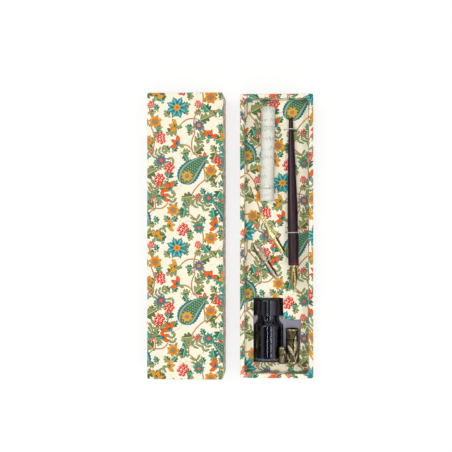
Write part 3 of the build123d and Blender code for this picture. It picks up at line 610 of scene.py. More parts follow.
# Lid board: grey board of recycled fibre, creased and folded into a tray. Its raw lower edge
# shows round the lid's mouth, and the fibres show as pale and dark flecks.
def grey_board(name):
    material, shader, place = finish(name, Roughness=0.9, Specular_IOR_Level=0.2)
    stretched = place.vector("MULTIPLY", (1.0, 1.0, 4.0))
    fleck = noise(stretched, 1.1, 4, 0.7)
    blotch = noise(place, 0.05, 2)
    tone = fleck.node("ValToRGB", {"stops": [
        (0.30, shade("6F6A62")), (0.48, shade("8F8A80")),
        (0.62, shade("A19C90")), (0.80, shade("B9B4A8")),
    ]}, {0: fleck})
    tone = cover(tone, shade("857F74"), blotch * 0.35)
    feed(shader, Base_Color=tone, Roughness=fleck * 0.1 + 0.84,
         Normal=bump(fleck, 0.06, 0.7))
    return material


board_finish = grey_board("grey_board")
dress("lid_board", board_finish)

# Lid corner tapes: gummed brown paper, torn to length and pressed over the four corners of
# the board tray before it is papered.
tape_finish, tape_shader, place = finish("gummed_tape", Roughness=0.7, Specular_IOR_Level=0.3)
ribs = noise(place.vector("MULTIPLY", (1.0, 1.0, 0.12)), 2.4, 3)
tape_tone = cover(shade("B79A6B"), shade("CDB68C"), ribs)
feed(tape_shader, Base_Color=tape_tone, Roughness=ribs * 0.15 + 0.6,
     Normal=bump(ribs, 0.03, 0.6))
dress("lid_corner_tapes", tape_finish)


# Lid liner: thin plain paper, cut to the tray and pasted over the board inside, where the
# glue leaves it a little blotched.
def plain_paper(name, light, dark):
    material, shader, place = finish(name, Roughness=0.85, Specular_IOR_Level=0.25)
    fibre = noise(place, 1.6, 5, 0.6)
    cloud = noise(place, 0.04, 3)
    tone = cover(shade(dark), shade(light), (fibre * 0.6 + cloud * 0.4 - 0.3) * 2.2)
    feed(shader, Base_Color=tone, Roughness=fibre * 0.12 + 0.78,
         Normal=bump(fibre + cloud * 0.5, 0.03, 0.5))
    return material


liner_finish = plain_paper("lining_paper", "A5A2AE", "8B8896")
dress("lid_liner", liner_finish)

# Lid end flaps: the print turned round each corner from the long sides, then covered by the
# flap of the short side, so a thin step with its paper edge stands close to each corner.
flap_back = 1.4 * MM
flap_low = 0.3 * MM
flap_slant = 1.1 * MM
flap_rows, flap_columns = 5, 8
for end, sign in (("head", 1), ("foot", -1)):
    shape = bmesh.new()
    sheet = shape.loops.layers.uv.new("sheet")
    reach = lid_half.x - flap_back
    top = lid_high.z - edge_round
    rows = []
    for row in range(flap_rows + 1):
        height = lid_low.z + flap_low + (top - lid_low.z - flap_low) * row / flap_rows
        width = reach - flap_slant * (1 - row / flap_rows)
        rows.append([
            shape.verts.new((
                lid_middle.x + width * (2 * column / flap_columns - 1),
                lid_middle.y + sign * (lid_half.y + flap_thick),
                height,
            ))
            for column in range(flap_columns + 1)
        ])
    for low, high in zip(rows, rows[1:]):
        for at in range(flap_columns):
            corners = [low[at], low[at + 1], high[at + 1], high[at]]
            face = shape.faces.new(corners if sign < 0 else corners[::-1])
            for loop in face.loops:
                place = loop.vert.co
                down = top - place.z + bend_out
                across = (place.x - lid_middle.x) / MM
                loop[sheet].uv = (across, sign * (lid_half.y + down) / MM)
    flap = make_object(f"lid_flap_{end}", mesh_from(shape, f"lid_flap_{end}"), printed)
    thicken(flap, flap_thick)
    seat(flap, "lid", "printed_paper", "lid_wrap")

# Base board, its corner tapes, bottom paper and liner: a tray of thicker grey board, lined
# before the insert goes in and papered plain underneath.
dress("base_board", board_finish)
dress("base_corner_tapes", tape_finish)
dress("base_bottom_paper", plain_paper("bottom_paper", "DAD6CC", "C4BFB3"))
dress("base_liner", liner_finish)

# Base wrap: one sheet of printed paper over the tray's sides, turned over the rim and a
# little way down inside, with its corners folded.
rim = 4.4 * MM
rim_round = 0.55 * MM
rim_lip = 0.5 * MM
rim_corner = 2.5 * MM
base_low, base_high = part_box("base_wrap")
base_middle = ((base_low + base_high) / 2).xy
base_half = ((base_high - base_low) / 2).xy
base_corner = 2.0 * MM
rim_bend = rim_round * (pi / 2 - 1)
base_rings = upright(base_low.z, base_high.z - rim_round, base_corner, rim_bend, 6)
base_rings += over_edge(rim_round, base_high.z, base_corner)
for step in range(1, 4):
    share = step / 4
    inset = rim_round + (rim - 2 * rim_round) * share
    corner = base_corner - rim_round + (rim_corner + 2 * rim_round - base_corner) * share
    base_rings.append((inset, base_high.z, corner, -inset))
for step in range(5):
    turn = pi / 2 * step / 4
    inset = rim - rim_round * (1 - sin(turn))
    height = base_high.z - rim_round * (1 - cos(turn))
    base_rings.append((inset, height, rim_corner + rim - inset, -rim + rim_round * (1 - turn)))
base_rings.append((rim, base_high.z - rim_round - rim_lip, rim_corner, -rim - rim_lip))
rim_half = base_half - Vector((rim, rim))
base_print = printed_paper(
    "printed_paper_base", [base_half / MM, rim_half / MM], shift=(-28, 24)
)
base_wrap = fold_tray("base_print", base_middle, base_half, base_rings, base_print, closed=False)
seat(base_wrap, "base", "printed_paper", "base_wrap")


# Insert foam: a block cut to shape, with a deep recess for the bottle, two rests beside its
# neck and a shallower pocket for the stand. Its closed cells leave the cuts faintly pitted.
def mesh_of(curve):
    """Mesh of a curve as it is filled or rounded."""
    holder = bpy.data.objects.new(curve.name, curve)
    mesh = bpy.data.meshes.new_from_object(holder)
    bpy.data.objects.remove(holder)
    return mesh


def fill_outline(name, loops, height, thick, lead):
    """Flat sheet of one outline with holes in it, at a height, with its edges rounded."""
    curve = bpy.data.curves.new(name, "CURVE")
    curve.dimensions = "2D"
    curve.fill_mode = "BOTH"
    curve.extrude = thick / 2 - lead
    curve.bevel_depth = lead
    curve.bevel_resolution = 2
    curve.offset = -lead
    for loop in loops:
        spline = curve.splines.new("POLY")
        spline.points.add(len(loop) - 1)
        for point, place in zip(spline.points, loop):
            point.co = (*place, 0, 1)
        spline.use_cyclic_u = True
    mesh = mesh_of(curve)
    mesh.transform(Matrix.Translation((0, 0, height - thick / 2)))
    return mesh


def rounded_outline(middle, half, radius, spans=(1, 1)):
    return [middle + row[0] for row in ring_points(half, radius, spans)]


def marked_out(places, middle=(0, 0)):
    """Places in millimetres about a middle, in metres."""
    return [Vector(middle) + Vector(place) * MM for place in places]


recess = marked_out([(22.9, -129.4357), (53.5, -129.4357), (53.5, -63.4357), (22.9, -63.4357)])
pocket = marked_out([(53.5, -130.2357), (69.6, -130.2357), (71.9, -85.5357), (53.5, -85.5357)])
opening = recess[:2] + pocket + recess[2:]
foam_low, foam_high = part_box("insert_foam")
foam_middle = ((foam_low + foam_high) / 2).xy
foam_half = ((foam_high - foam_low) / 2).xy
foam_corner = 0.6 * MM
foam_edge = 0.25 * MM
pocket_floor = 18.3 * MM
bottle_x = 38.2
rest_top = 17.2 * MM
neck_rest = [
    (22.7, -91.2), (23.5, -91.2), (26.2, -88.0), (27.4, -85.4), (27.2, -82.3), (22.7, -82.3),
]
block = rounded_outline(foam_middle, foam_half, foam_corner)
lower_thick, upper_thick = pocket_floor - foam_low.z, foam_high.z - pocket_floor
lower = fill_outline("foam_low", [block, recess], pocket_floor, lower_thick, foam_edge)
upper = fill_outline("foam_high", [block, opening], foam_high.z, upper_thick, foam_edge)
shape = bmesh.new()
shape.from_mesh(lower)
shape.from_mesh(upper)
for side in (1, -1):
    rest = [Vector((bottle_x + side * (x - bottle_x), y)) * MM for x, y in neck_rest]
    shape.from_mesh(fill_outline("neck_rest", [rest], rest_top, rest_top - foam_low.z, foam_edge))
foam_mesh = mesh_from(shape, "foam_block")
foam_finish, foam_shader, place = finish("cut_foam", Roughness=0.95, Specular_IOR_Level=0.15)
cells_per_metre = 2600.0
cells = place.node("TexVoronoi", {"feature": "F1"}, {"Vector": place, "Scale": cells_per_metre})
drag = noise(place.vector("MULTIPLY", (1.0, 1.0, 0.15)), 0.6, 3)
foam_tone = cover(shade("9592A2"), shade("B3B1BF"), cells * 0.7 + drag * 0.4)
feed(foam_shader, Base_Color=foam_tone, Roughness=cells * 0.1 + 0.86,
     Normal=bump(cells + drag * 0.8, 0.12, 0.8))
foam_block = make_object("foam_block", foam_mesh, foam_finish, 40)
seat(foam_block, "base", "foam", "insert_foam")

# Insert card: a shallow tray of white-lined board that drops in over the foam, so its cut
# edge shows round each opening.
card_finish, card_shader, place = finish("insert_board", Roughness=0.85, Specular_IOR_Level=0.2)
layers = noise(place.vector("MULTIPLY", (0.4, 0.4, 6.0)), 1.2, 4)
card_tone = cover(shade("8E8B98"), shade("B4B1B8"), layers)
feed(card_shader, Base_Color=card_tone, Roughness=layers * 0.1 + 0.8,
     Normal=bump(layers, 0.05, 0.6))
dress("insert_card", card_finish)

# Insert wrap: printed paper over the card, from the rim down the inner walls and across the
# floor, cut out at the openings and punched for the strings. A near-black ring is painted round
# the holes of the roll and the spare nibs as painted shade, for the dark inside each hole.
tray_half = rim_half
wall_top = base_high.z - rim_round - rim_lip / 2
platform = 22.6 * MM
wall_bend = 0.5 * MM
wall_rows, bend_steps = 3, 4
hole_radius = 0.85
string_holes = [
    (24.45, 110.06), (48.95, 109.68), (27.19, 47.91), (48.49, 47.58), (54.79, 108.4),
    (67.0, 108.6), (56.24, 3.4), (70.15, 3.6), (38.86, -5.22), (49.73, 1.16),
    (30.86, -30.21), (40.67, -22.3),
]
wall_rings = [
    (0.0, wall_top + (platform + wall_bend - wall_top) * row / wall_rows, rim_corner,
     (wall_top - platform) * (1 - row / wall_rows))
    for row in range(wall_rows)
]
for step in range(bend_steps):
    turn = pi / 2 * step / bend_steps
    inset = wall_bend * (1 - cos(turn))
    wall_rings.append((
        inset, platform + wall_bend * (1 - sin(turn)), rim_corner - inset,
        wall_bend * (pi / 2 - turn) * 0.6,
    ))
wall_rings.append((wall_bend, platform, rim_corner - wall_bend, 0.0))
insert_print = printed_paper("printed_paper_insert", [tray_half / MM], shift=(6, -30))


def finished(material):
    """A finish's shader, its colour so far and the object's coordinates, to add to it."""
    shader = material.node_tree.nodes["Principled BSDF"]
    tone = Value(material.node_tree, shader.inputs["Base Color"].links[0].from_socket)
    return shader, tone, tone.node("TexCoord", output=3)


print_shader, ink, place = finished(insert_print)
# Painted shade: a near-black ring round the string holes of the roll and the spare nibs, for the
# dark inside each hole.
painted_hole_shade, hole_shade_reach = 0, 1.45
for x, y in string_holes[:4] + string_holes[8:]:
    near = place.vector("DISTANCE", (x * MM, y * MM, platform)) < hole_shade_reach * MM
    painted_hole_shade = near.maths("MAXIMUM", painted_hole_shade)
feed(print_shader, Base_Color=cover(ink, shade("15110F"), painted_hole_shade))
insert_walls = fold_tray("insert_walls", base_middle, tray_half, wall_rings, insert_print,
                         closed=False)
seat(insert_walls, "base", "printed_paper", "insert_wrap")

floor_outline = rounded_outline(base_middle, tray_half - Vector((wall_bend,) * 2),
                                rim_corner - wall_bend, (24, 6))
punch = [(hole_radius * cos(t * pi / 6), hole_radius * sin(t * pi / 6)) for t in range(12)]
floor_loops = [floor_outline, opening]
for hole in string_holes:
    floor_loops.append(marked_out(punch, [side * MM for side in hole]))
floor_mesh = fill_outline("insert_floor", floor_loops, platform, PAPER, 0.0)
floor_sheet = floor_mesh.uv_layers.new(name="sheet")
for loop in floor_mesh.loops:
    place = floor_mesh.vertices[loop.vertex_index].co.xy
    floor_sheet.data[loop.index].uv = (place - base_middle) / MM
insert_floor = make_object("insert_floor", floor_mesh, insert_print)
seat(insert_floor, "base", "printed_paper", "insert_wrap")


# Rolled sheet of writing paper: one long sheet wound on itself a little unevenly, so its turns
# part here and there at the ends and its outer edge lies along the roll.
def local_frame(origin, x_dir, z_dir):
    """Frame of a piece from its origin, in millimetres, and two of its directions."""
    up = Vector(z_dir).normalized()
    out = Vector(x_dir)
    out = (out - up * out.dot(up)).normalized()
    side = up.cross(out)
    turn = Matrix((out, side, up)).transposed().to_4x4()
    return Matrix.Translation(Vector(origin) * MM) @ turn


def grid_mesh(name, rows, closed=False, marks=None):
    """Mesh over rows of points in millimetres, with a value or a place for each if given."""
    mesh = bpy.data.meshes.new(name)
    wide = len(rows[0])
    points = [Vector(point) * MM for row in rows for point in row]
    faces = []
    for row in range(len(rows) - 1):
        for column in range(wide if closed else wide - 1):
            after = (column + 1) % wide
            low, high = row * wide, (row + 1) * wide
            faces.append((low + column, low + after, high + after, high + column))
    mesh.from_pydata(points, [], faces)
    if marks:
        values = [value for row in marks for value in row]
        if isinstance(values[0], tuple):
            sheet = mesh.uv_layers.new(name="sheet")
            for loop in mesh.loops:
                sheet.data[loop.index].uv = values[loop.vertex_index]
        else:
            mark = mesh.attributes.new("mark", "FLOAT", "POINT")
            mark.data.foreach_set("value", values)
    return mesh


roll_foot, roll_side, roll_way = (36.8, 35.364, 30.0), (0.99988, -0.015463), (0.015463, 0.99988)
roll_frame = local_frame(roll_foot, (*roll_side, 0), (*roll_way, 0))
roll_long, roll_radius = 95.1, 7.15
roll_turns, roll_steps, roll_rows = 6, 56, 30
roll_sheet = 0.13
roll_gap = 0.33
roll_start = 2.5
roll_oval, roll_ripple = 0.012, 0.05
wander = Random(11)
loosen = [wander.uniform(0.6, 1.4) for turn in range(roll_turns + 1)]
shrink = [wander.uniform(0.0, 0.45) for turn in range(2 * roll_turns + 2)]
rows = []
places = []
for row in range(roll_rows + 1):
    share = row / roll_rows
    points, flats = [], []
    radius = roll_radius - roll_sheet / 2
    flat = 0.0
    for step in range(roll_turns * roll_steps + 1):
        turns = step / roll_steps
        turn = int(min(turns, roll_turns - 0.001))
        part = turns - turn
        angle = roll_start - 2 * pi * turns
        oval = sin(2 * angle + turn) * roll_oval * min(1, turns)
        ripple = sin(share * 5 + turn * 2.1) * roll_ripple * min(1, turns)
        wide = radius * (1 - abs(oval)) - abs(ripple)
        ease = part * part * (3 - 2 * part)
        first = shrink[turn] * (1 - ease) + shrink[turn + 1] * ease
        last = shrink[turn + roll_turns] * (1 - ease) + shrink[turn + roll_turns + 1] * ease
        first, last = first * min(1, turns * 3), last * min(1, turns * 3)
        along = first + (roll_long - first - last) * share
        points.append((wide * cos(angle), wide * sin(angle), along))
        flats.append((flat, along))
        flat += radius * 2 * pi / roll_steps
        radius -= roll_gap * loosen[turn] / roll_steps
    rows.append(points)
    places.append(flats)
roll_mesh = grid_mesh("paper_roll", rows, marks=places)
roll_finish, roll_shader, place = finish("writing_paper", Roughness=0.85, Specular_IOR_Level=0.25)
sheet = place.node("UVMap", {"uv_map": "sheet"})
across = sheet.vector("DOT_PRODUCT", (1, 0, 0))
along = sheet.vector("DOT_PRODUCT", (0, 1, 0))
fibre = noise(place, 1.5, 5, 0.6)
cloud = noise(place, 0.06, 3)
paper_tone = cover(shade("E5E5D9"), shade("F3F3E8"), (fibre * 0.5 + cloud * 0.5 - 0.25) * 2)
row_pitch, pen_slant, pen_beat, pen_wide = 9.6, 0.9, 2.1, 0.22
line_at = (along / row_pitch).maths("FRACT") * row_pitch - row_pitch / 2
written = noise(sheet, 0.0001, 0)
sway = noise(sheet, 0.00009, 0)
swing = (across - line_at * pen_slant) * pen_beat + sway * 8
tall = noise(sheet, 0.0003, 0) * 4.6 - 0.8
steep = swing.maths("COSINE") * tall * pen_beat
stroke = abs(line_at - swing.maths("SINE") * tall) / (steep * steep + 1).maths("SQRT")
pen_line = (stroke < pen_wide) * (written > 0.44) * (0.3 + sway * 0.45)
paper_tone = cover(paper_tone, shade("4E5258"), pen_line)
feed(roll_shader, Base_Color=paper_tone, Roughness=fibre * 0.1 + 0.78,
     Normal=bump(fibre + cloud, 0.04, 0.5))
paper_roll = make_object("paper_roll", roll_mesh, roll_finish, 60)
paper_roll.matrix_world = roll_frame
thicken(paper_roll, roll_sheet * MM, 0)
seat(paper_roll, "scroll", "writing_paper", "scroll")


# Pen holder: one piece of close-grained wood, turned to a long taper, stained aubergine and
# waxed. Its front is bored for the nib clip.
def turned_mesh(name, profile, steps, wave=None):
    """Mesh turned about Z from a profile of distances along and radii, in millimetres."""
    rows = []
    for along, radius in profile:
        row = []
        for step in range(steps):
            angle = 2 * pi * step / steps
            reach = radius + wave(along, radius, angle) if wave else radius
            row.append((reach * cos(angle), reach * sin(angle), along))
        rows.append(row)
    mesh = grid_mesh(name, rows, closed=True)
    shape = bmesh.new()
    shape.from_mesh(mesh)
    bmesh.ops.remove_doubles(shape, verts=shape.verts, dist=MM / 1000)
    bmesh.ops.recalc_face_normals(shape, faces=shape.faces)
    shape.to_mesh(mesh)
    shape.free()
    return mesh


def rounded_corner(along, radius, bend, way, steps=5):
    """Profile of a corner: from an end face to the side, or on to the far end for -1."""
    points = []
    for step in range(steps + 1):
        turn = pi / 2 * step / steps
        points.append((along + way * bend * (1 - sin(turn)), radius - bend * (1 - cos(turn))))
    return points if way < 0 else points[::-1]


def smooth_between(stations, at):
    """Values between stations on a curve that doesn't overshoot them."""
    last = len(stations) - 1
    index = max(i for i in range(last) if stations[i][0] <= at or i == 0)
    low, high = stations[index], stations[index + 1]
    span = high[0] - low[0]
    share = (at - low[0]) / span
    values = []
    for column in range(1, len(low)):
        def slope(i):
            if i == 0 or i == last:
                j = max(1, min(i, last))
                return (stations[j][column] - stations[j - 1][column]) / (
                    stations[j][0] - stations[j - 1][0])
            before = (stations[i][column] - stations[i - 1][column]) / (
                stations[i][0] - stations[i - 1][0])
            after = (stations[i + 1][column] - stations[i][column]) / (
                stations[i + 1][0] - stations[i][0])
            return 0.0 if before * after <= 0 else 2 * before * after / (before + after)

        a, b = low[column], high[column]
        first, second = slope(index) * span, slope(index + 1) * span
        s2, s3 = share * share, share ** 3
        values.append(
            a * (2 * s3 - 3 * s2 + 1) + first * (s3 - 2 * s2 + share)
            + b * (3 * s2 - 2 * s3) + second * (s3 - s2)
        )
    return values


pen_tail = (61.109, 119.743, 25.73)
pen_axis = Vector((0.017971, -0.999581, 0.022689))
pen_long = 150.0
tail_radius, tail_round, front_radius, front_round = 2.08, 0.7, 5.45, 1.4
pen_taper = [(0.0, 2.05), (12.0, 2.55), (45.0, 3.9), (108.0, 5.33), (pen_long, front_radius)]
mouth_radius, mouth_depth, mouth_flare = 3.55, 14.0, 0.2
pen_frame = local_frame(pen_tail, (0, 0, 1), pen_axis)
pen_profile = [(0.0, 0.0)]
pen_profile += rounded_corner(0.0, tail_radius, tail_round, 1)
steps = 60
for step in range(1, steps):
    at = tail_round + (pen_long - front_round - tail_round) * step / steps
    pen_profile.append((at, smooth_between(pen_taper, at)[0]))
pen_profile += rounded_corner(pen_long, front_radius, front_round, -1)
pen_profile += [(pen_long, mouth_radius + mouth_flare), (pen_long - mouth_flare, mouth_radius),
                (pen_long - mouth_depth, mouth_radius), (pen_long - mouth_depth, 0.0)]
wood, wood_shader, place = finish(
    "stained_wood", Roughness=0.35, Specular_IOR_Level=0.38,
    Specular_Tint=(1.0, 0.68, 0.83, 1),
)
grain_place = place.vector("MULTIPLY", (1.0, 1.0, 0.05))
grain = noise(grain_place, 1.6, 5, 0.62)
pores = noise(place.vector("MULTIPLY", (1.0, 1.0, 0.12)), 5.0, 2)
along = place.vector("DOT_PRODUCT", (0, 0, 1 / MM))
turned_rings = (along * 5.2 + noise(place, 0.3, 2) * 3).maths("SINE")
stain = cover(shade("0D0308"), shade("27111B"), (grain - 0.3) * 1.8)
stain = cover(stain, shade("14080D"), (pores > 0.63) * 0.6)
bare_front = 3.2
front = (along > pen_long - bare_front) * 0.75
stain = cover(stain, shade("5A2328"), front)
feed(wood_shader, Base_Color=stain, Roughness=grain * 0.14 + 0.22,
     Normal=bump(grain + turned_rings * 0.08 - (pores > 0.63) * 0.5, 0.03, 0.5))
pen_turning = make_object("pen_turning", turned_mesh("pen_turning", pen_profile, 48), wood, 50)
pen_turning.matrix_world = pen_frame
seat(pen_turning, "pen", "stained_wood", "pen_holder")


# Nib clip: a drawn steel sleeve pressed into the pen's mouth, with spring tongues inside. Its
# polished rim shows round the nib.
def metal(name, light, dark, rough, grain_way=(1, 1, 1), scale=1.0, bumpy=0.02):
    """Metal with faint drawing lines, a soft stain and uneven polish."""
    material, shader, place = finish(name, Metallic=1.0, Roughness=rough)
    lines = noise(place.vector("MULTIPLY", grain_way), 3.0 * scale, 4, 0.6)
    cloud = noise(place, 0.25 * scale, 3)
    tone = cover(shade(dark), shade(light), (cloud * 0.7 + lines * 0.4 - 0.3) * 2.0)
    feed(shader, Base_Color=tone, Roughness=cloud * 0.18 + lines * 0.12 + (rough - 0.12),
         Normal=bump(lines, bumpy, 0.4))
    return material


dress("pen_ferrule", metal("polished_steel", "F0EEEA", "C9C6C0", 0.2, (1, 0.08, 1)))


# Pen nib: brass sheet, stamped, slit and pressed to a curve that tapers to the writing point.
# A dark band along its slot is painted shade, for the shadow seen through it. Its shank is pushed
# into the clip.
def pressed_nib(name, stations, gap, thick, material, columns=8, pitch=0.35, shoulder=()):
    """Curved sheet over stations of distance, half width, rise and crown, slit by its gap."""
    length = stations[-1][0]
    places = sorted({*[round(i * length / ceil(length / pitch), 4)
                       for i in range(ceil(length / pitch) + 1)],
                     *[station[0] for station in stations], *shoulder})
    shape = bmesh.new()
    for side in (1, -1):
        last = None
        for at in places:
            half, rise, crown = smooth_between(stations, at)
            inner = min(gap(at), half * 0.8)
            row = []
            for column in range(columns + 1):
                across = inner + (half - inner) * column / columns
                bow = crown - rise * (across / half) ** 2
                row.append(shape.verts.new(Vector((across * side, bow, at)) * MM))
            if last:
                for a, b, c, d in zip(last, last[1:], row[1:], row):
                    shape.faces.new((a, b, c, d) if side < 0 else (d, c, b, a))
            last = row
    bmesh.ops.remove_doubles(shape, verts=shape.verts, dist=MM / 1000)
    piece = make_object(name, mesh_from(shape, name), material, 40)
    thicken(piece, thick * MM)
    edge = piece.modifiers.new("stamped_edge", "BEVEL")
    edge.width = 0.05 * MM
    edge.segments = 2
    edge.limit_method = "ANGLE"
    edge.angle_limit = radians(50)
    return piece


def slit_gap(to, wide=0.09):
    return lambda at: wide if at < to else 0.0


def slot_gap(start, stop, half, wide=0.09):
    """Slit that opens into a slot with round ends."""
    def gap(at):
        if at >= stop:
            return 0.0
        inside = min(at - start, stop - at)
        if inside <= 0:
            return wide
        return half if inside >= half else max(wide, sqrt(half * half - (half - inside) ** 2))
    return gap


def nib_frame(tip, axis):
    side = Vector((0, 0, 1)).cross(Vector(axis))
    return local_frame(tip, side, axis)


def darken_nib_slit(material, half, reach, code, middle=0.0, taper=0.0):
    """Darker band along a nib's slit or slot, between two distances from its tip; it may taper."""
    shader, tone, place = finished(material)
    ragged = noise(place, 0.9, 3) * 0.14
    along = place.vector("DOT_PRODUCT", (0, 0, 1 / MM))
    wide = (1 - (along - reach[0]) * (taper / (reach[1] - reach[0]))) * half
    aside = abs(place.vector("DOT_PRODUCT", (1 / MM, 0, 0)) - middle) / wide
    near = ((1.3 + ragged - aside) * 3).maths("MINIMUM", 1).maths("MAXIMUM", 0)
    inside = (along > reach[0]) * (along < reach[1])
    feed(shader, Base_Color=cover(tone, shade(code), near * inside * 0.95))


nib_thick, nib_out = 0.3, 27.5
slot_from, slot_to = 11.2, 20.0
pen_nib_stations = [
    (0.0, 0.3, 0.05, 1.6), (4.9, 1.37, 0.45, 2.0), (7.6, 2.33, 0.9, 2.3),
    (15.7, 3.38, 1.7, 2.9), (27.5, 2.8, 1.9, 2.9), (41.0, 2.8, 1.9, 2.9),
]
brass = metal("nib_brass", "BCA26A", "7C673C", 0.2, (1, 1, 0.06), bumpy=0.006)
# Painted shade: the slot is painted dark, for the shadow seen through it.
darken_nib_slit(brass, 0.68, (10.4, 22.0), "1C120B", taper=0.7)
nib_tip = Vector(pen_tail) + pen_axis * (pen_long + nib_out)
slot_ends = [slot_from, 11.25, 11.35, 11.5, 11.7, 19.5, 19.7, 19.85, 19.95, slot_to]
brass_nib = pressed_nib("brass_nib", pen_nib_stations, slot_gap(slot_from, slot_to, 0.3),
                        nib_thick, brass, shoulder=slot_ends)
brass_nib.matrix_world = nib_frame(nib_tip, -pen_axis)
seat(brass_nib, "nib", "nib_brass", "pen_nib")


# Spare gold nib: a pale gold leaf point on a narrow neck, with wide shoulders pierced by two
# breathers, and a half-round shank slotted to spring into a holder.
def pierce(nib, cuts):
    """Cut oval holes: places across and along, and half sizes, in millimetres."""
    deep = 9.0
    punch = turned_mesh("punch", [(-deep, 0.0), (-deep, 1.0), (deep, 1.0), (deep, 0.0)], 32)
    upright = Matrix.Rotation(-pi / 2, 4, "X")
    shape = bmesh.new()
    for across, along, wide, long in cuts:
        shape.from_mesh(punch)
        place = Matrix.Translation(Vector((across, 0, along)) * MM)
        size = Matrix.Diagonal((wide, 1, long, 1))
        bmesh.ops.transform(shape, matrix=place @ size @ upright,
                            verts=shape.verts[-len(punch.vertices):])
    shape.to_mesh(punch)
    shape.free()
    puncher = make_object("puncher", punch, nib.active_material)
    puncher.matrix_world = nib.matrix_world
    holes = nib.modifiers.new("holes", "BOOLEAN")
    holes.object = puncher
    holes.solver = "EXACT"
    nib.modifiers.move(2, 1)
    bpy.context.view_layer.update()
    pressed = nib.evaluated_get(bpy.context.evaluated_depsgraph_get())
    pierced = bpy.data.meshes.new_from_object(pressed)
    nib.modifiers.clear()
    nib.data = pierced
    bpy.data.objects.remove(puncher)


gold_stations = [
    (0.0, 0.45, 0.1, 0.4), (2.5, 1.3, 0.3, 0.6), (8.7, 2.2, 0.6, 0.9), (12.7, 1.7, 0.8, 1.1),
    (19.0, 3.2, 1.3, 1.6), (26.0, 5.8, 2.0, 2.3), (26.7, 2.9, 1.9, 2.2), (45.1, 2.9, 1.9, 2.2),
]
gold_tip, gold_axis = (30.28, 21.864, 22.85), (0.506034, -0.862514, 0)
gold_slit, gold_slit_end = 24.4, [24.39, 24.41]
breather_out, breather_half = 2.3, 0.75
shank_slot, shank_slot_half = 1.7, 0.2
gold = metal("nib_gold", "EAE3A8", "C9BF76", 0.26, (1, 1, 0.06), bumpy=0.006)
# Painted shade: the shank is painted near-black round its slot, for the shadow inside the
# half-round shank.
darken_nib_slit(gold, 0.6, (28.5, 43.5), "0E0B06", 1.75)
gold_nib = pressed_nib("gold_nib", gold_stations, slit_gap(gold_slit), nib_thick, gold,
                       columns=12, shoulder=gold_slit_end)
gold_nib.matrix_world = nib_frame(gold_tip, gold_axis)
pierce(gold_nib, [
    (-breather_out, gold_slit, breather_half, breather_half),
    (breather_out, gold_slit, breather_half, breather_half),
    (shank_slot, 36.0, shank_slot_half, 7.2),
])
seat(gold_nib, "gold_nib", "nib_gold", "spare_nib_gold")

# Spare steel nib: a broad square point for lettering on a slotted shank, with a small brass
# reservoir clipped over it to hold the ink.
steel_stations = [
    (0.0, 1.9, 0.3, 0.6), (5.0, 3.6, 1.1, 1.4), (10.0, 4.5, 1.8, 2.1), (19.2, 4.3, 1.9, 2.2),
    (20.0, 2.9, 1.9, 2.2), (39.6, 2.9, 1.9, 2.2),
]
steel_tip, steel_axis = (24.14, -8.287, 22.85), (0.543174, -0.83962, 0)
steel_slit, steel_slit_end = 6.0, [5.99, 6.01]
steel = metal("nib_steel", "D6CAB4", "82766A", 0.26, (1, 1, 0.06), bumpy=0.01)
# Darker along the slit at the tip.
darken_nib_slit(steel, 0.25, (-1.0, 6.0), "3B3026")
# Painted shade: the shank is painted near-black round its slot, for the shadow inside the
# half-round shank.
darken_nib_slit(steel, 0.6, (22.0, 38.0), "14100C", 1.75)
steel_nib = pressed_nib("steel_nib", steel_stations, slit_gap(steel_slit), nib_thick, steel,
                        columns=10, shoulder=steel_slit_end)
steel_nib.matrix_world = nib_frame(steel_tip, steel_axis)
pierce(steel_nib, [(shank_slot, 30.0, shank_slot_half, 7.5)])
seat(steel_nib, "steel_nib", "nib_steel", "spare_nib_steel")

reservoir_half, reservoir_lift, reservoir_from, reservoir_thick = 2.9, 0.3, 6.0, 0.25
reservoir_stations = []
for at in (reservoir_from, 8.0, 10.0, 14.0, 18.4):
    half, rise, crown = smooth_between(steel_stations, at)
    reservoir_stations.append((at - reservoir_from, reservoir_half,
                               rise * (reservoir_half / half) ** 2, crown + reservoir_lift))
reservoir_brass = metal("reservoir_brass", "D2C4A2", "5C5244", 0.3, (1, 1, 0.2), 1.6, bumpy=0.02)
reservoir = pressed_nib("reservoir", reservoir_stations, slit_gap(0.0), reservoir_thick,
                        reservoir_brass)
base_point = Vector(steel_tip) + Vector(steel_axis) * reservoir_from
reservoir.matrix_world = nib_frame(base_point, steel_axis)
seat(reservoir, "steel_nib", "reservoir_brass", "nib_reservoir")


# Ink bottle: clear glass blown in a mould, with a thick hollowed heel, a round shoulder and a
# threaded neck. It lies on its side in the recess, full of blue-black ink.
bottle_frame = local_frame((38.2, -127.236, 17.1), (0, 0, 1), (0, 1, 0))
glass_radius, glass_wall, glass_floor = 14.4, 1.8, 3.0
glass_body, glass_shoulder, neck_from = 34.8, 42.0, 45.7
neck_out, neck_in, finish_out = 9.8, 8.0, 10.8
heel_round, inner_round, lip_round, lip_at = 2.0, 1.6, 0.6, 61.0
screw_first, screw_apart, screw_out = 4.5, 4.0, 0.6
body_rings = (8.0, 16.0, 26.0)


def sloped(start, stop, radius, end_radius, steps=16):
    """Profile that leaves one round wall and joins a narrower one without a corner."""
    points = []
    for step in range(steps + 1):
        t = step / steps
        points.append((start + (stop - start) * t,
                       radius + (end_radius - radius) * t * t * (3 - 2 * t)))
    return points


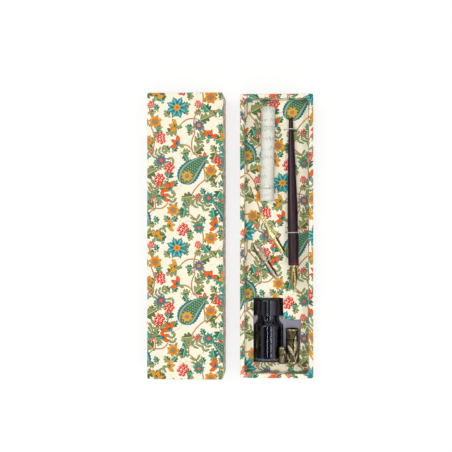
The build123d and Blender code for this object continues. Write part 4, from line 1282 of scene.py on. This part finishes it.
glass_profile = [(0.9, 0.0), (0.8, 5.0), (0.4, 8.5), (0.05, 10.5), (0.0, 11.6)]
glass_profile += rounded_corner(0.0, glass_radius, heel_round, 1)
glass_profile += [(at, glass_radius) for at in body_rings]
glass_profile += sloped(glass_body, glass_shoulder, glass_radius, neck_out)
glass_profile += [(neck_from, neck_out), (neck_from + 0.3, finish_out)]
for turn in range(2):
    middle = neck_from + screw_first + screw_apart * turn
    glass_profile += [(middle - 0.9, finish_out), (middle - 0.3, finish_out + screw_out),
                      (middle + 0.3, finish_out + screw_out), (middle + 0.9, finish_out)]
glass_profile += rounded_corner(lip_at, finish_out, lip_round, -1)
glass_profile += [(lip_at, neck_in + 0.4), (lip_at - 0.4, neck_in), (glass_shoulder, neck_in)]
inner_radius, inner_body = glass_radius - glass_wall, glass_body - 0.5
glass_profile += sloped(inner_body, glass_shoulder, inner_radius, neck_in)[::-1]
glass_profile += [(at, inner_radius) for at in body_rings[::-1]]
glass_profile += rounded_corner(glass_floor, inner_radius, inner_round, 1)[::-1]
glass_profile += [(glass_floor + 0.4, 5.0), (glass_floor + 0.6, 0.0)]
glass, glass_shader, place = finish(
    "bottle_glass", Transmission_Weight=1.0, IOR=1.5, Roughness=0.03,
    Specular_Tint=(0.78, 0.8, 1.0, 1),
)
drawn = noise(place.vector("MULTIPLY", (1, 1, 0.3)), 0.12, 0)
from_heel = place.vector("DOT_PRODUCT", (0, 0, 1 / MM))
inked = ((from_heel - glass_floor + 0.6) * 1.2).maths("MINIMUM", 1).maths("MAXIMUM", 0)
glass_tone = cover(shade("F2F5F5"), shade("474B60"), inked)
feed(glass_shader, Base_Color=glass_tone, Roughness=drawn * 0.04 + 0.01,
     Normal=bump(drawn, 0.05, 0.3))
# The heel is mixed with a pale, rough coat: partly scuffing of the glass, partly a painted
# highlight for the light that comes through the thick heel.
heel = glass_shader.outputs[0]
frosted_and_lit = place.node("BsdfPrincipled", inputs={"Roughness": 0.25})
specks = noise(place, 0.35, 4, 0.65)
scuff_and_highlight = cover(shade("4C4F60"), shade("C4C6D2"), (specks - 0.35) * 2.2)
feed(frosted_and_lit.socket.node, Base_Color=scuff_and_highlight)
heel_middle = 1.4
at_heel = (1 - abs(from_heel - heel_middle) * 0.55).maths("MAXIMUM", 0) * 0.6
mixed = place.node("MixShader", inputs={0: at_heel, 1: Value(place.tree, heel), 2: frosted_and_lit})
place.tree.links.new(mixed.socket, place.tree.nodes["Material Output"].inputs["Surface"])
blown_mesh = turned_mesh("bottle_blown", glass_profile, 96)
bottle_blown = make_object("bottle_blown", blown_mesh, glass, 40)
bottle_blown.matrix_world = bottle_frame
seat(bottle_blown, "bottle", "bottle_glass", "bottle_glass")

# Ink: blue-black writing ink, poured in to just below the lip. It wets the glass all round,
# so no wall of air shows behind it.
wets = 0.02
ink_radius, ink_top = inner_radius + wets, lip_at - 1.0
ink_profile = [(glass_floor + 0.55, 0.0), (glass_floor + 0.38, 5.0)]
ink_profile += rounded_corner(glass_floor - wets, ink_radius, inner_round, 1)
ink_profile += [(at, ink_radius) for at in body_rings]
ink_profile += sloped(inner_body, glass_shoulder, ink_radius, neck_in + wets)
ink_profile += [(ink_top, neck_in + wets), (ink_top, 0.0)]
ink_finish, ink_shader, place = finish("ink", Roughness=0.12, Specular_IOR_Level=0.5)
swirl = noise(place, 0.08, 4)
feed(ink_shader, Base_Color=cover(shade("08080F"), shade("181826"), swirl),
     Roughness=swirl * 0.1 + 0.08)
ink_fill = make_object("ink_fill", turned_mesh("ink_fill", ink_profile, 96), ink_finish, 40)
ink_fill.matrix_world = bottle_frame
seat(ink_fill, "bottle", "ink", "bottle_ink")

# Bottle cap: a black moulded screw cap, finely fluted round its side, with a soft disc inside
# that seals on the lip.
cap_radius, cap_inner, cap_long, cap_round = 13.25, 11.75, 17.6, 2.4
cap_flutes, flute_deep, flutes_from, flutes_to = 48, 0.05, 2.0, 14.2
dish_radius, dish_deep = 9.0, 0.25
cap_from, cap_end = neck_from, neck_from + cap_long
roof_at = 62.1
cap_profile = [(cap_from, cap_inner)] + rounded_corner(cap_from, cap_radius, 1.2, 1)
cap_profile += [(cap_from + at, cap_radius) for at in (1.8, 2.2, 2.6, 13.6, 14.0, 14.4)]
cap_profile += rounded_corner(cap_end, cap_radius, cap_round, -1, 8)
cap_profile += [(cap_end, dish_radius), (cap_end - dish_deep, dish_radius - 0.3),
                (cap_end - dish_deep, 0.0)]
cap_profile = [(roof_at, 0.0), (roof_at, cap_inner)] + cap_profile


def flutes(along, radius, angle):
    if radius < cap_radius or not cap_from + flutes_from < along < cap_from + flutes_to:
        return 0.0
    return -flute_deep * abs(sin(angle * cap_flutes / 2)) ** 8


plastic, plastic_shader, place = finish(
    "cap_plastic", Roughness=0.3, Specular_IOR_Level=0.5, Specular_Tint=(0.8, 0.82, 1.0, 1),
)
flow = noise(place.vector("MULTIPLY", (1, 1, 0.5)), 0.16, 1)
grit = noise(place, 3.0, 2)
feed(plastic_shader, Base_Color=cover(shade("09090F"), shade("14141D"), flow),
     Roughness=flow * 0.03 + grit * 0.02 + 0.02, Normal=bump(flow + grit * 0.01, 0.06, 0.4))
screw_cap = make_object(
    "screw_cap", turned_mesh("screw_cap", cap_profile, cap_flutes * 8, flutes), plastic, 40
)
screw_cap.matrix_world = bottle_frame
seat(screw_cap, "cap", "cap_plastic", "bottle_cap")
dress("cap_liner", plain_paper("seal_disc", "E6E4DE", "D2CFC6"))


# Pen stand: a single brass casting of a hollow bamboo stalk and a short shoot, with leaves and
# twigs in relief. It is patinated dark and rubbed bright on what stands proud.
stand_roll = radians(19.34)
stand_frame = local_frame(
    (62.4, -129.236, 25.45), (cos(stand_roll), 0, -sin(stand_roll)), (0, 1, 0)
)
stalk_radius, stalk_rim, stalk_long = 6.35, 6.9, 35.0
rim_wide = 1.8
bore_radius, bore_depth = 5.65, 31.0
shoot_radius, shoot_long, shoot_apart = 3.6, 17.3, 10.6
rim_fall, rim_ease, bore_flare = 0.25, 0.35, 0.25
ring_half, groove_to, groove_deep = 0.6, 1.1, 0.12
relief, twig_half, rib_half = 0.6, 0.45, 0.22
plain_bright = 0.42
leaves = [
    ((1.5, 3.0), (6.2, 15.0), 1.7), ((-1.0, 8.0), (4.8, 24.0), 2.1),
    ((0.5, 15.0), (1.8, 29.5), 1.6), ((-0.5, 7.5), (-5.6, 19.0), 1.7),
    ((-4.5, 3.0), (-9.6, 13.5), 1.8), ((3.4, 12.5), (6.0, 27.0), 1.3),
]
twigs = [((1.6, 1.8), (-1.0, 9.0)), ((-1.0, 9.0), (0.6, 16.0)), ((-5.0, 1.6), (-3.6, 5.0))]


def carved(u, v):
    """Rise of the relief at a place of the front, and how bright it is rubbed."""
    rise, bright = 0.0, plain_bright
    for base, tip, belly in leaves:
        way = Vector(tip) - Vector(base)
        long = way.length
        way /= long
        off = Vector((u, v)) - Vector(base)
        t = off.dot(way) / long
        aside = off.x * way.y - off.y * way.x
        if not 0 < t < 1:
            continue
        half = belly * sin(pi * t) ** 0.8
        part = abs(aside) / max(half, 0.01)
        if part < 1:
            rib = 0.3 * max(0.0, 1 - abs(aside) / rib_half)
            veins = 0.06 * cos((t * long - abs(aside) * 1.4) * 5.0)
            leaf = relief * (0.62 + 0.38 * (1 - part) - rib + veins)
            if leaf > rise:
                rise, bright = leaf, 0.62 + 0.4 * (1 - part) - rib
        elif rise == 0:
            bright = min(bright, 0.05 + 0.5 * (abs(aside) - half))
    for start, stop in twigs:
        way = Vector(stop) - Vector(start)
        off = Vector((u, v)) - Vector(start)
        t = max(0.0, min(1.0, off.dot(way) / way.length_squared))
        apart = (off - way * t).length
        if apart < twig_half:
            rise = max(rise, relief * (1 - (apart / twig_half) ** 2))
            bright = max(bright, 0.8)
        elif rise == 0:
            bright = min(bright, 0.05 + 0.6 * (apart - twig_half))
    return rise, max(0.0, bright)


def bamboo_radius(height, radius, joints, swell):
    """Radius of a cane: rings at its joints and a groove beside each."""
    rise, bright = 0.0, 0.0
    for joint in joints:
        off = height - joint - ring_half
        rise = max(rise, swell * max(0.0, 1 - (off / ring_half) ** 2))
        if ring_half < abs(off) < groove_to:
            rise = -groove_deep
            bright = -0.4
    return radius + rise, bright


def cane(name, middle, radius, joints, swell, length, cap, inside, rims, lift=0.0):
    """Cast cane about an upright through its middle, closed at its foot."""
    rows, marks = [[(middle, 0.0, 0.0)] * cane_steps], [[0.3] * cane_steps]
    heights = [length * step / cane_rows for step in range(cane_rows + 1)]
    for height in heights:
        around, bright_at = bamboo_radius(height, radius, joints, swell)
        near = min(height, length - height)
        on_rim = rims and near < rim_wide
        if on_rim:
            around = stalk_rim - rim_fall * max(0.0, 1 - near / rim_ease) ** 2
            bright_at = 0.3
        elif cap and height > length - cap:
            around = radius - cap + sqrt(max(0.0, cap * cap - (height - length + cap) ** 2))
            bright_at = 0.2
        row, values = [], []
        for step in range(cane_steps):
            angle = 2 * pi * step / cane_steps
            u = middle + around * cos(angle)
            facing = max(0.0, min(1.0, -sin(angle) * 2.2))
            rise, bright = carved(u, height) if facing > 0 else (0.0, plain_bright)
            if on_rim:
                rise = 0.0
            reach = around + rise * facing
            row.append((middle + reach * cos(angle), reach * sin(angle), height))
            values.append(bright * facing + plain_bright * (1 - facing) + bright_at + lift)
        rows.append(row)
        marks.append(values)
    if inside:
        depth, bore = inside
        floor_at = length - depth
        for height, around in ((length, bore + bore_flare), (length - bore_flare, bore),
                               (length - depth * 0.5, bore), (floor_at, bore), (floor_at, 0.0)):
            rows.append([(middle + around * cos(2 * pi * s / cane_steps),
                          around * sin(2 * pi * s / cane_steps), height)
                         for s in range(cane_steps)])
            marks.append([0.3 if height > length - 0.2 else 0.0] * cane_steps)
    else:
        rows.append([(middle, 0.0, length)] * cane_steps)
        marks.append([0.6] * cane_steps)
    return grid_mesh(name, rows, closed=True, marks=marks)


cane_steps, cane_rows = 200, 190
casting = bmesh.new()
stalk = cane("stalk", 0.0, stalk_radius, [11.0, 23.0], 0.4, stalk_long, 0,
             (bore_depth, bore_radius), True)
cane_steps, cane_rows = 120, 110
shoot = cane("shoot", -shoot_apart, shoot_radius, [8.5], 0.25, shoot_long, 2.2, None, False,
             0.13)
web_rows, web_marks = [], []
web_high, web_steps, web_columns = 13.0, 14, 8
web_left, web_right, web_half = -shoot_apart + 2.0, -4.6, 1.5
for row in range(web_steps + 1):
    height = web_high * row / web_steps
    past = max(0.0, (height - web_high + web_half) / web_half)
    crown = web_half * sqrt(max(0.02, 1 - past ** 2))
    line, values = [], []
    for side in (-1, 1):
        for step in range(web_columns + 1):
            t = step / web_columns if side < 0 else 1 - step / web_columns
            across = web_left + (web_right - web_left) * t
            flare = 1.1 * abs(2 * t - 1) ** 3
            line.append((across, side * (crown + flare), height))
            values.append(0.12 + 0.3 * (1 - abs(2 * t - 1)))
    web_rows.append(line)
    web_marks.append(values)
for end in (0, -1):
    line = web_rows[end]
    middle = ((line[0][0] + line[web_columns][0]) / 2, 0.0, line[0][2])
    if end == 0:
        web_rows.insert(0, [middle] * len(line))
        web_marks.insert(0, [0.1] * len(line))
    else:
        web_rows.append([middle] * len(line))
        web_marks.append([0.1] * len(line))
web = grid_mesh("web", web_rows, closed=True, marks=web_marks)
for part in (stalk, shoot, web):
    casting.from_mesh(part)
bmesh.ops.remove_doubles(casting, verts=casting.verts, dist=MM / 1000)
bmesh.ops.recalc_face_normals(casting, faces=casting.faces)
cast_mesh = mesh_from(casting, "bamboo_stand")
cast, cast_shader, place = finish("cast_brass", Metallic=1.0, Roughness=0.45)
mark = place.node("Attribute", {"attribute_name": "mark"}, output=2)
streak = noise(place.vector("MULTIPLY", (1, 1, 0.12)), 1.5, 4, 0.65)
pitting = noise(place, 1.1, 5, 0.6)
rubbed = mark + (pitting - 0.5) * 0.9 + (streak - 0.5) * 1.3
patina = rubbed.node("ValToRGB", {"stops": [
    (0.1, shade("0E0B07")), (0.32, shade("2B2519")), (0.52, shade("5A503A")),
    (0.74, shade("93876A")), (0.97, shade("D0C59E")),
]}, {0: rubbed})
feed(cast_shader, Base_Color=patina, Roughness=0.62 - rubbed * 0.3,
     Normal=bump(pitting + streak, 0.1, 0.7))
bamboo_stand = make_object("bamboo_stand", cast_mesh, cast, 55)
bamboo_stand.matrix_world = stand_frame
seat(bamboo_stand, "stand", "cast_brass", "pen_stand")


# Holding strings: two-ply cotton thread. Each goes round one piece, down through two punched
# holes and back under the card, where its ends are knotted.
def bent_path(corners, bends, pitch):
    """Points along a line whose corners are bent round, a pitch apart."""
    pieces = [corners[0]]
    for before, corner, after, bend in zip(corners, corners[1:], corners[2:], bends):
        into, out = (corner - before).normalized(), (after - corner).normalized()
        turn = into.angle_signed(out)
        cut = bend * tan(abs(turn) / 2)
        start = corner - into * cut
        side = Vector((into.y, -into.x)) * (1 if turn > 0 else -1)
        middle = start + side * bend
        count = max(3, ceil(bend * abs(turn) / pitch))
        for step in range(count + 1):
            pieces.append(middle + Matrix.Rotation(-turn * step / count, 2) @ (start - middle))
    pieces.append(corners[-1])
    points, left = [pieces[0]], pitch
    for first, last in zip(pieces, pieces[1:]):
        long = (last - first).length
        at = left
        while at <= long:
            points.append(first + (last - first) * at / long)
            at += pitch
        left = at - long
    return points


thread_radius, thread_lay, thread_depth = 0.4, 2.0, 3.0
thread_step, thread_ease = 0.22, 0.25
hole_rise, hole_bend, under_bend, tie_half = 0.6, 1.2, 1.0, 0.3
knot_radius, knot_long, knot_steps, knot_step = 0.6, 1.0, 40, 0.32


def cotton(name, dull, bright):
    """Soft thread between two tones."""
    material, shader, place = finish(name, Roughness=0.9, Specular_IOR_Level=0.2, Sheen_Weight=0.2)
    fluff = noise(place, 2.2, 4)
    feed(shader, Base_Color=cover(shade(dull), shade(bright), fluff),
         Roughness=fluff * 0.1 + 0.82, Normal=bump(fluff, 0.08, 0.8))
    return material


# The roll's threads take a darker copy of the same cotton: painted shade, for the shadow the thread
# lies in on the paper.
shaded_cotton = cotton("shaded_cotton", "B6B8B5", "E0E1DE")
white_cotton = cotton("white_cotton", "D0D0CC", "F4F4F1")
shank_round = 3.163
holds = [
    ("scroll_top", (37.952, 109.855), -0.886, 7.15, 7.4, 13.5, 11.0),
    ("scroll_foot", (36.992, 47.763), -0.886, 7.15, 7.4, 9.8, 11.5),
    ("pen_neck", (61.31, 108.548), 1.03, 2.517, 3.384, 6.517, 5.717),
    ("pen_belly", (63.199, 3.492), 1.03, 5.354, 5.769, 6.954, 6.954),
    ("gold_nib", (44.297, -2.028), 30.4, shank_round, -0.713, 6.3, 6.3),
    ("steel_nib", (35.764, -26.255), 38.9, shank_round, -0.713, 6.3, 6.3),
]
for name, point, angle, radius, height, left, right in holds:
    around = radius + thread_ease + thread_radius

    def slope(reach):
        far = hypot(reach, height - hole_rise)
        return tan(atan2(height - hole_rise, reach) + asin(around / far))

    slope_left, slope_right = slope(left), slope(right)
    apex = (slope_right * right - slope_left * left) / (slope_left + slope_right)
    corners = [
        (-tie_half, -thread_depth), (-left, -thread_depth), (-left, hole_rise),
        (apex, hole_rise + slope_left * (apex + left)), (right, hole_rise),
        (right, -thread_depth), (tie_half, -thread_depth),
    ]
    bends = [under_bend, hole_bend, around, hole_bend, under_bend]
    route = bent_path([Vector(corner) for corner in corners], bends, thread_step)
    curve = bpy.data.curves.new(f"thread_{name}", "CURVE")
    curve.dimensions = "3D"
    curve.bevel_depth = thread_radius / 2
    curve.bevel_resolution = 2
    for ply in (0, pi):
        spline = curve.splines.new("POLY")
        spline.points.add(len(route) - 1)
        for index, place_at in enumerate(route):
            ahead = route[min(index + 1, len(route) - 1)] - route[max(index - 1, 0)]
            side = Vector((-ahead.y, ahead.x)).normalized()
            turn = 2 * pi * index * thread_step / thread_lay + ply
            flat = place_at + side * cos(turn) * thread_radius / 2
            spline.points[index].co = (flat.x, flat.y, sin(turn) * thread_radius / 2, 1)
    knot = curve.splines.new("POLY")
    knot.points.add(knot_steps)
    for index, point_at in enumerate(knot.points):
        turn = index * knot_step
        point_at.co = ((index / knot_steps - 0.5) * knot_long,
                       knot_radius * cos(turn) - thread_depth, knot_radius * sin(turn), 1)
    mesh = mesh_of(curve)
    mesh.transform(Matrix.Scale(MM, 4))
    for loop_polygon in mesh.polygons:
        loop_polygon.use_smooth = True
    # Painted shade: the threads on the roll get the darker copy of the cotton.
    cord = shaded_cotton if "scroll" in name else white_cotton
    tied = make_object(f"thread_{name}", mesh, cord)
    turn = radians(angle)
    tied.matrix_world = local_frame(
        (*point, platform / MM), (cos(turn), sin(turn), 0), (sin(turn), -cos(turn), 0)
    )
    seat(tied, "base", "string", f"string_{name}")


# Table top: one broad white sheet, flat and without an edge in sight. It is so bright that
# only the shadows that the box and the lid throw show on it.
def seen(value):
    """1 where the camera sees something, straight or in metal or glass."""
    ray = value.node("LightPath")
    others = ("Is Glossy Ray", "Is Transmission Ray")
    return sum(map(ray.output, others), ray.output("Is Camera Ray")).maths("MINIMUM", 1)


floor_mesh = bpy.data.meshes.new("floor")
floor_size = 3.0
floor_mesh.from_pydata(
    [(x * floor_size, y * floor_size, 0) for x, y in ((-1, -1), (1, -1), (1, 1), (-1, 1))],
    [], [(0, 1, 2, 3)],
)
floor_finish, floor_shader, place = finish("white_table", Roughness=0.7)
floor_shader.inputs["Base Color"].default_value = shade("F2F2F2")
card_glow, card_grey = 0.75, 0.3
white_card = place.node("Emission", inputs={"Color": (1, 1, 1, 1), "Strength": card_glow})
half_lit = place.node("BsdfDiffuse", inputs={"Color": (*[card_grey] * 3, 1)})
shown = place.node("AddShader", inputs={0: white_card, 1: half_lit})
lit = Value(floor_finish.node_tree, floor_shader.outputs[0])
surface = place.node("MixShader", inputs={0: seen(place), 1: lit, 2: shown})
floor_out = floor_finish.node_tree.nodes["Material Output"]
floor_finish.node_tree.links.new(surface.socket, floor_out.inputs["Surface"])
floor = make_object("floor", floor_mesh, floor_finish)

# Light: a window high on the left, a fill from the right, a bank beyond the foot, two long
# soft tubes overhead and a white room with a dark ceiling.
scene = bpy.context.scene
scene.view_settings.view_transform = "Standard"
room = bpy.data.worlds.new("room")
scene.world = room
room.use_nodes = True
room_light = Value(room.node_tree, room.node_tree.nodes["Background"].outputs[0])
room_light.socket.node.inputs["Color"].default_value = (1, 1, 1, 1)
room_glow, ceiling_from, ceiling_edge, ceiling_dark = 0.2, 0.74, 0.08, 0.88
skyward = room_light.node("TexCoord", output=0).vector("DOT_PRODUCT", (0, 0, 1))
ceiling = ((skyward - ceiling_from) * (1 / ceiling_edge)).maths("MINIMUM", 1).maths("MAXIMUM", 0)
strength = seen(room_light) * ((1 - room_glow) - ceiling * ceiling_dark) + room_glow
room.node_tree.links.new(strength.socket, room_light.socket.node.inputs["Strength"])
lamps = [
    ("window", (-0.62, 0.3, 1.15), 0.7, 0.5, 5.4),
    ("fill", (0.8, -0.4, 1.1), 0.9, 0.9, 3.6),
    ("tube_left", (-0.12, 0.0, 1.25), 0.12, 0.9, 2.4),
    ("tube_right", (0.5, 0.0, 1.15), 0.12, 0.9, 2.3),
    ("foot_bank", (0.05, -0.9, 1.2), 0.5, 0.3, 3.8),
]
aim = Vector((0.02, 0, 0.02))
for lamp_name, lamp_place, lamp_wide, lamp_long, lamp_power in lamps:
    lamp = bpy.data.lights.new(lamp_name, "AREA")
    lamp.shape = "RECTANGLE"
    lamp.size, lamp.size_y = lamp_wide, lamp_long
    lamp.energy = lamp_power
    holder = bpy.data.objects.new(lamp_name, lamp)
    place = Vector(lamp_place)
    holder.matrix_world = local_frame(place / MM, (1, 0, 0), place - aim)
    scene.collection.objects.link(holder)

# Camera: above the tray, about as high as the eyes of someone who stands at the table, and
# tilted a little so that the lid's right side shows.
picture = 452
rim_scale = 1.0 * MM
rim_height = 40 * MM
camera_above_rim = 750 * MM
nadir_pixel = 279
nadir_x = 49.1 * MM
middle_y = 10 * MM
tilt = radians(2.0)
camera = bpy.data.cameras.new("camera")
camera.sensor_width = 36.0
camera.lens = camera.sensor_width * camera_above_rim / (picture * rim_scale)
camera.shift_x = -(nadir_pixel - picture / 2 - tan(tilt) * camera_above_rim / rim_scale) / picture
camera_holder = bpy.data.objects.new("camera", camera)
camera_holder.location = (nadir_x, middle_y, rim_height + camera_above_rim)
camera_holder.rotation_euler = (0, tilt, 0)
scene.collection.objects.link(camera_holder)
scene.camera = camera_holder
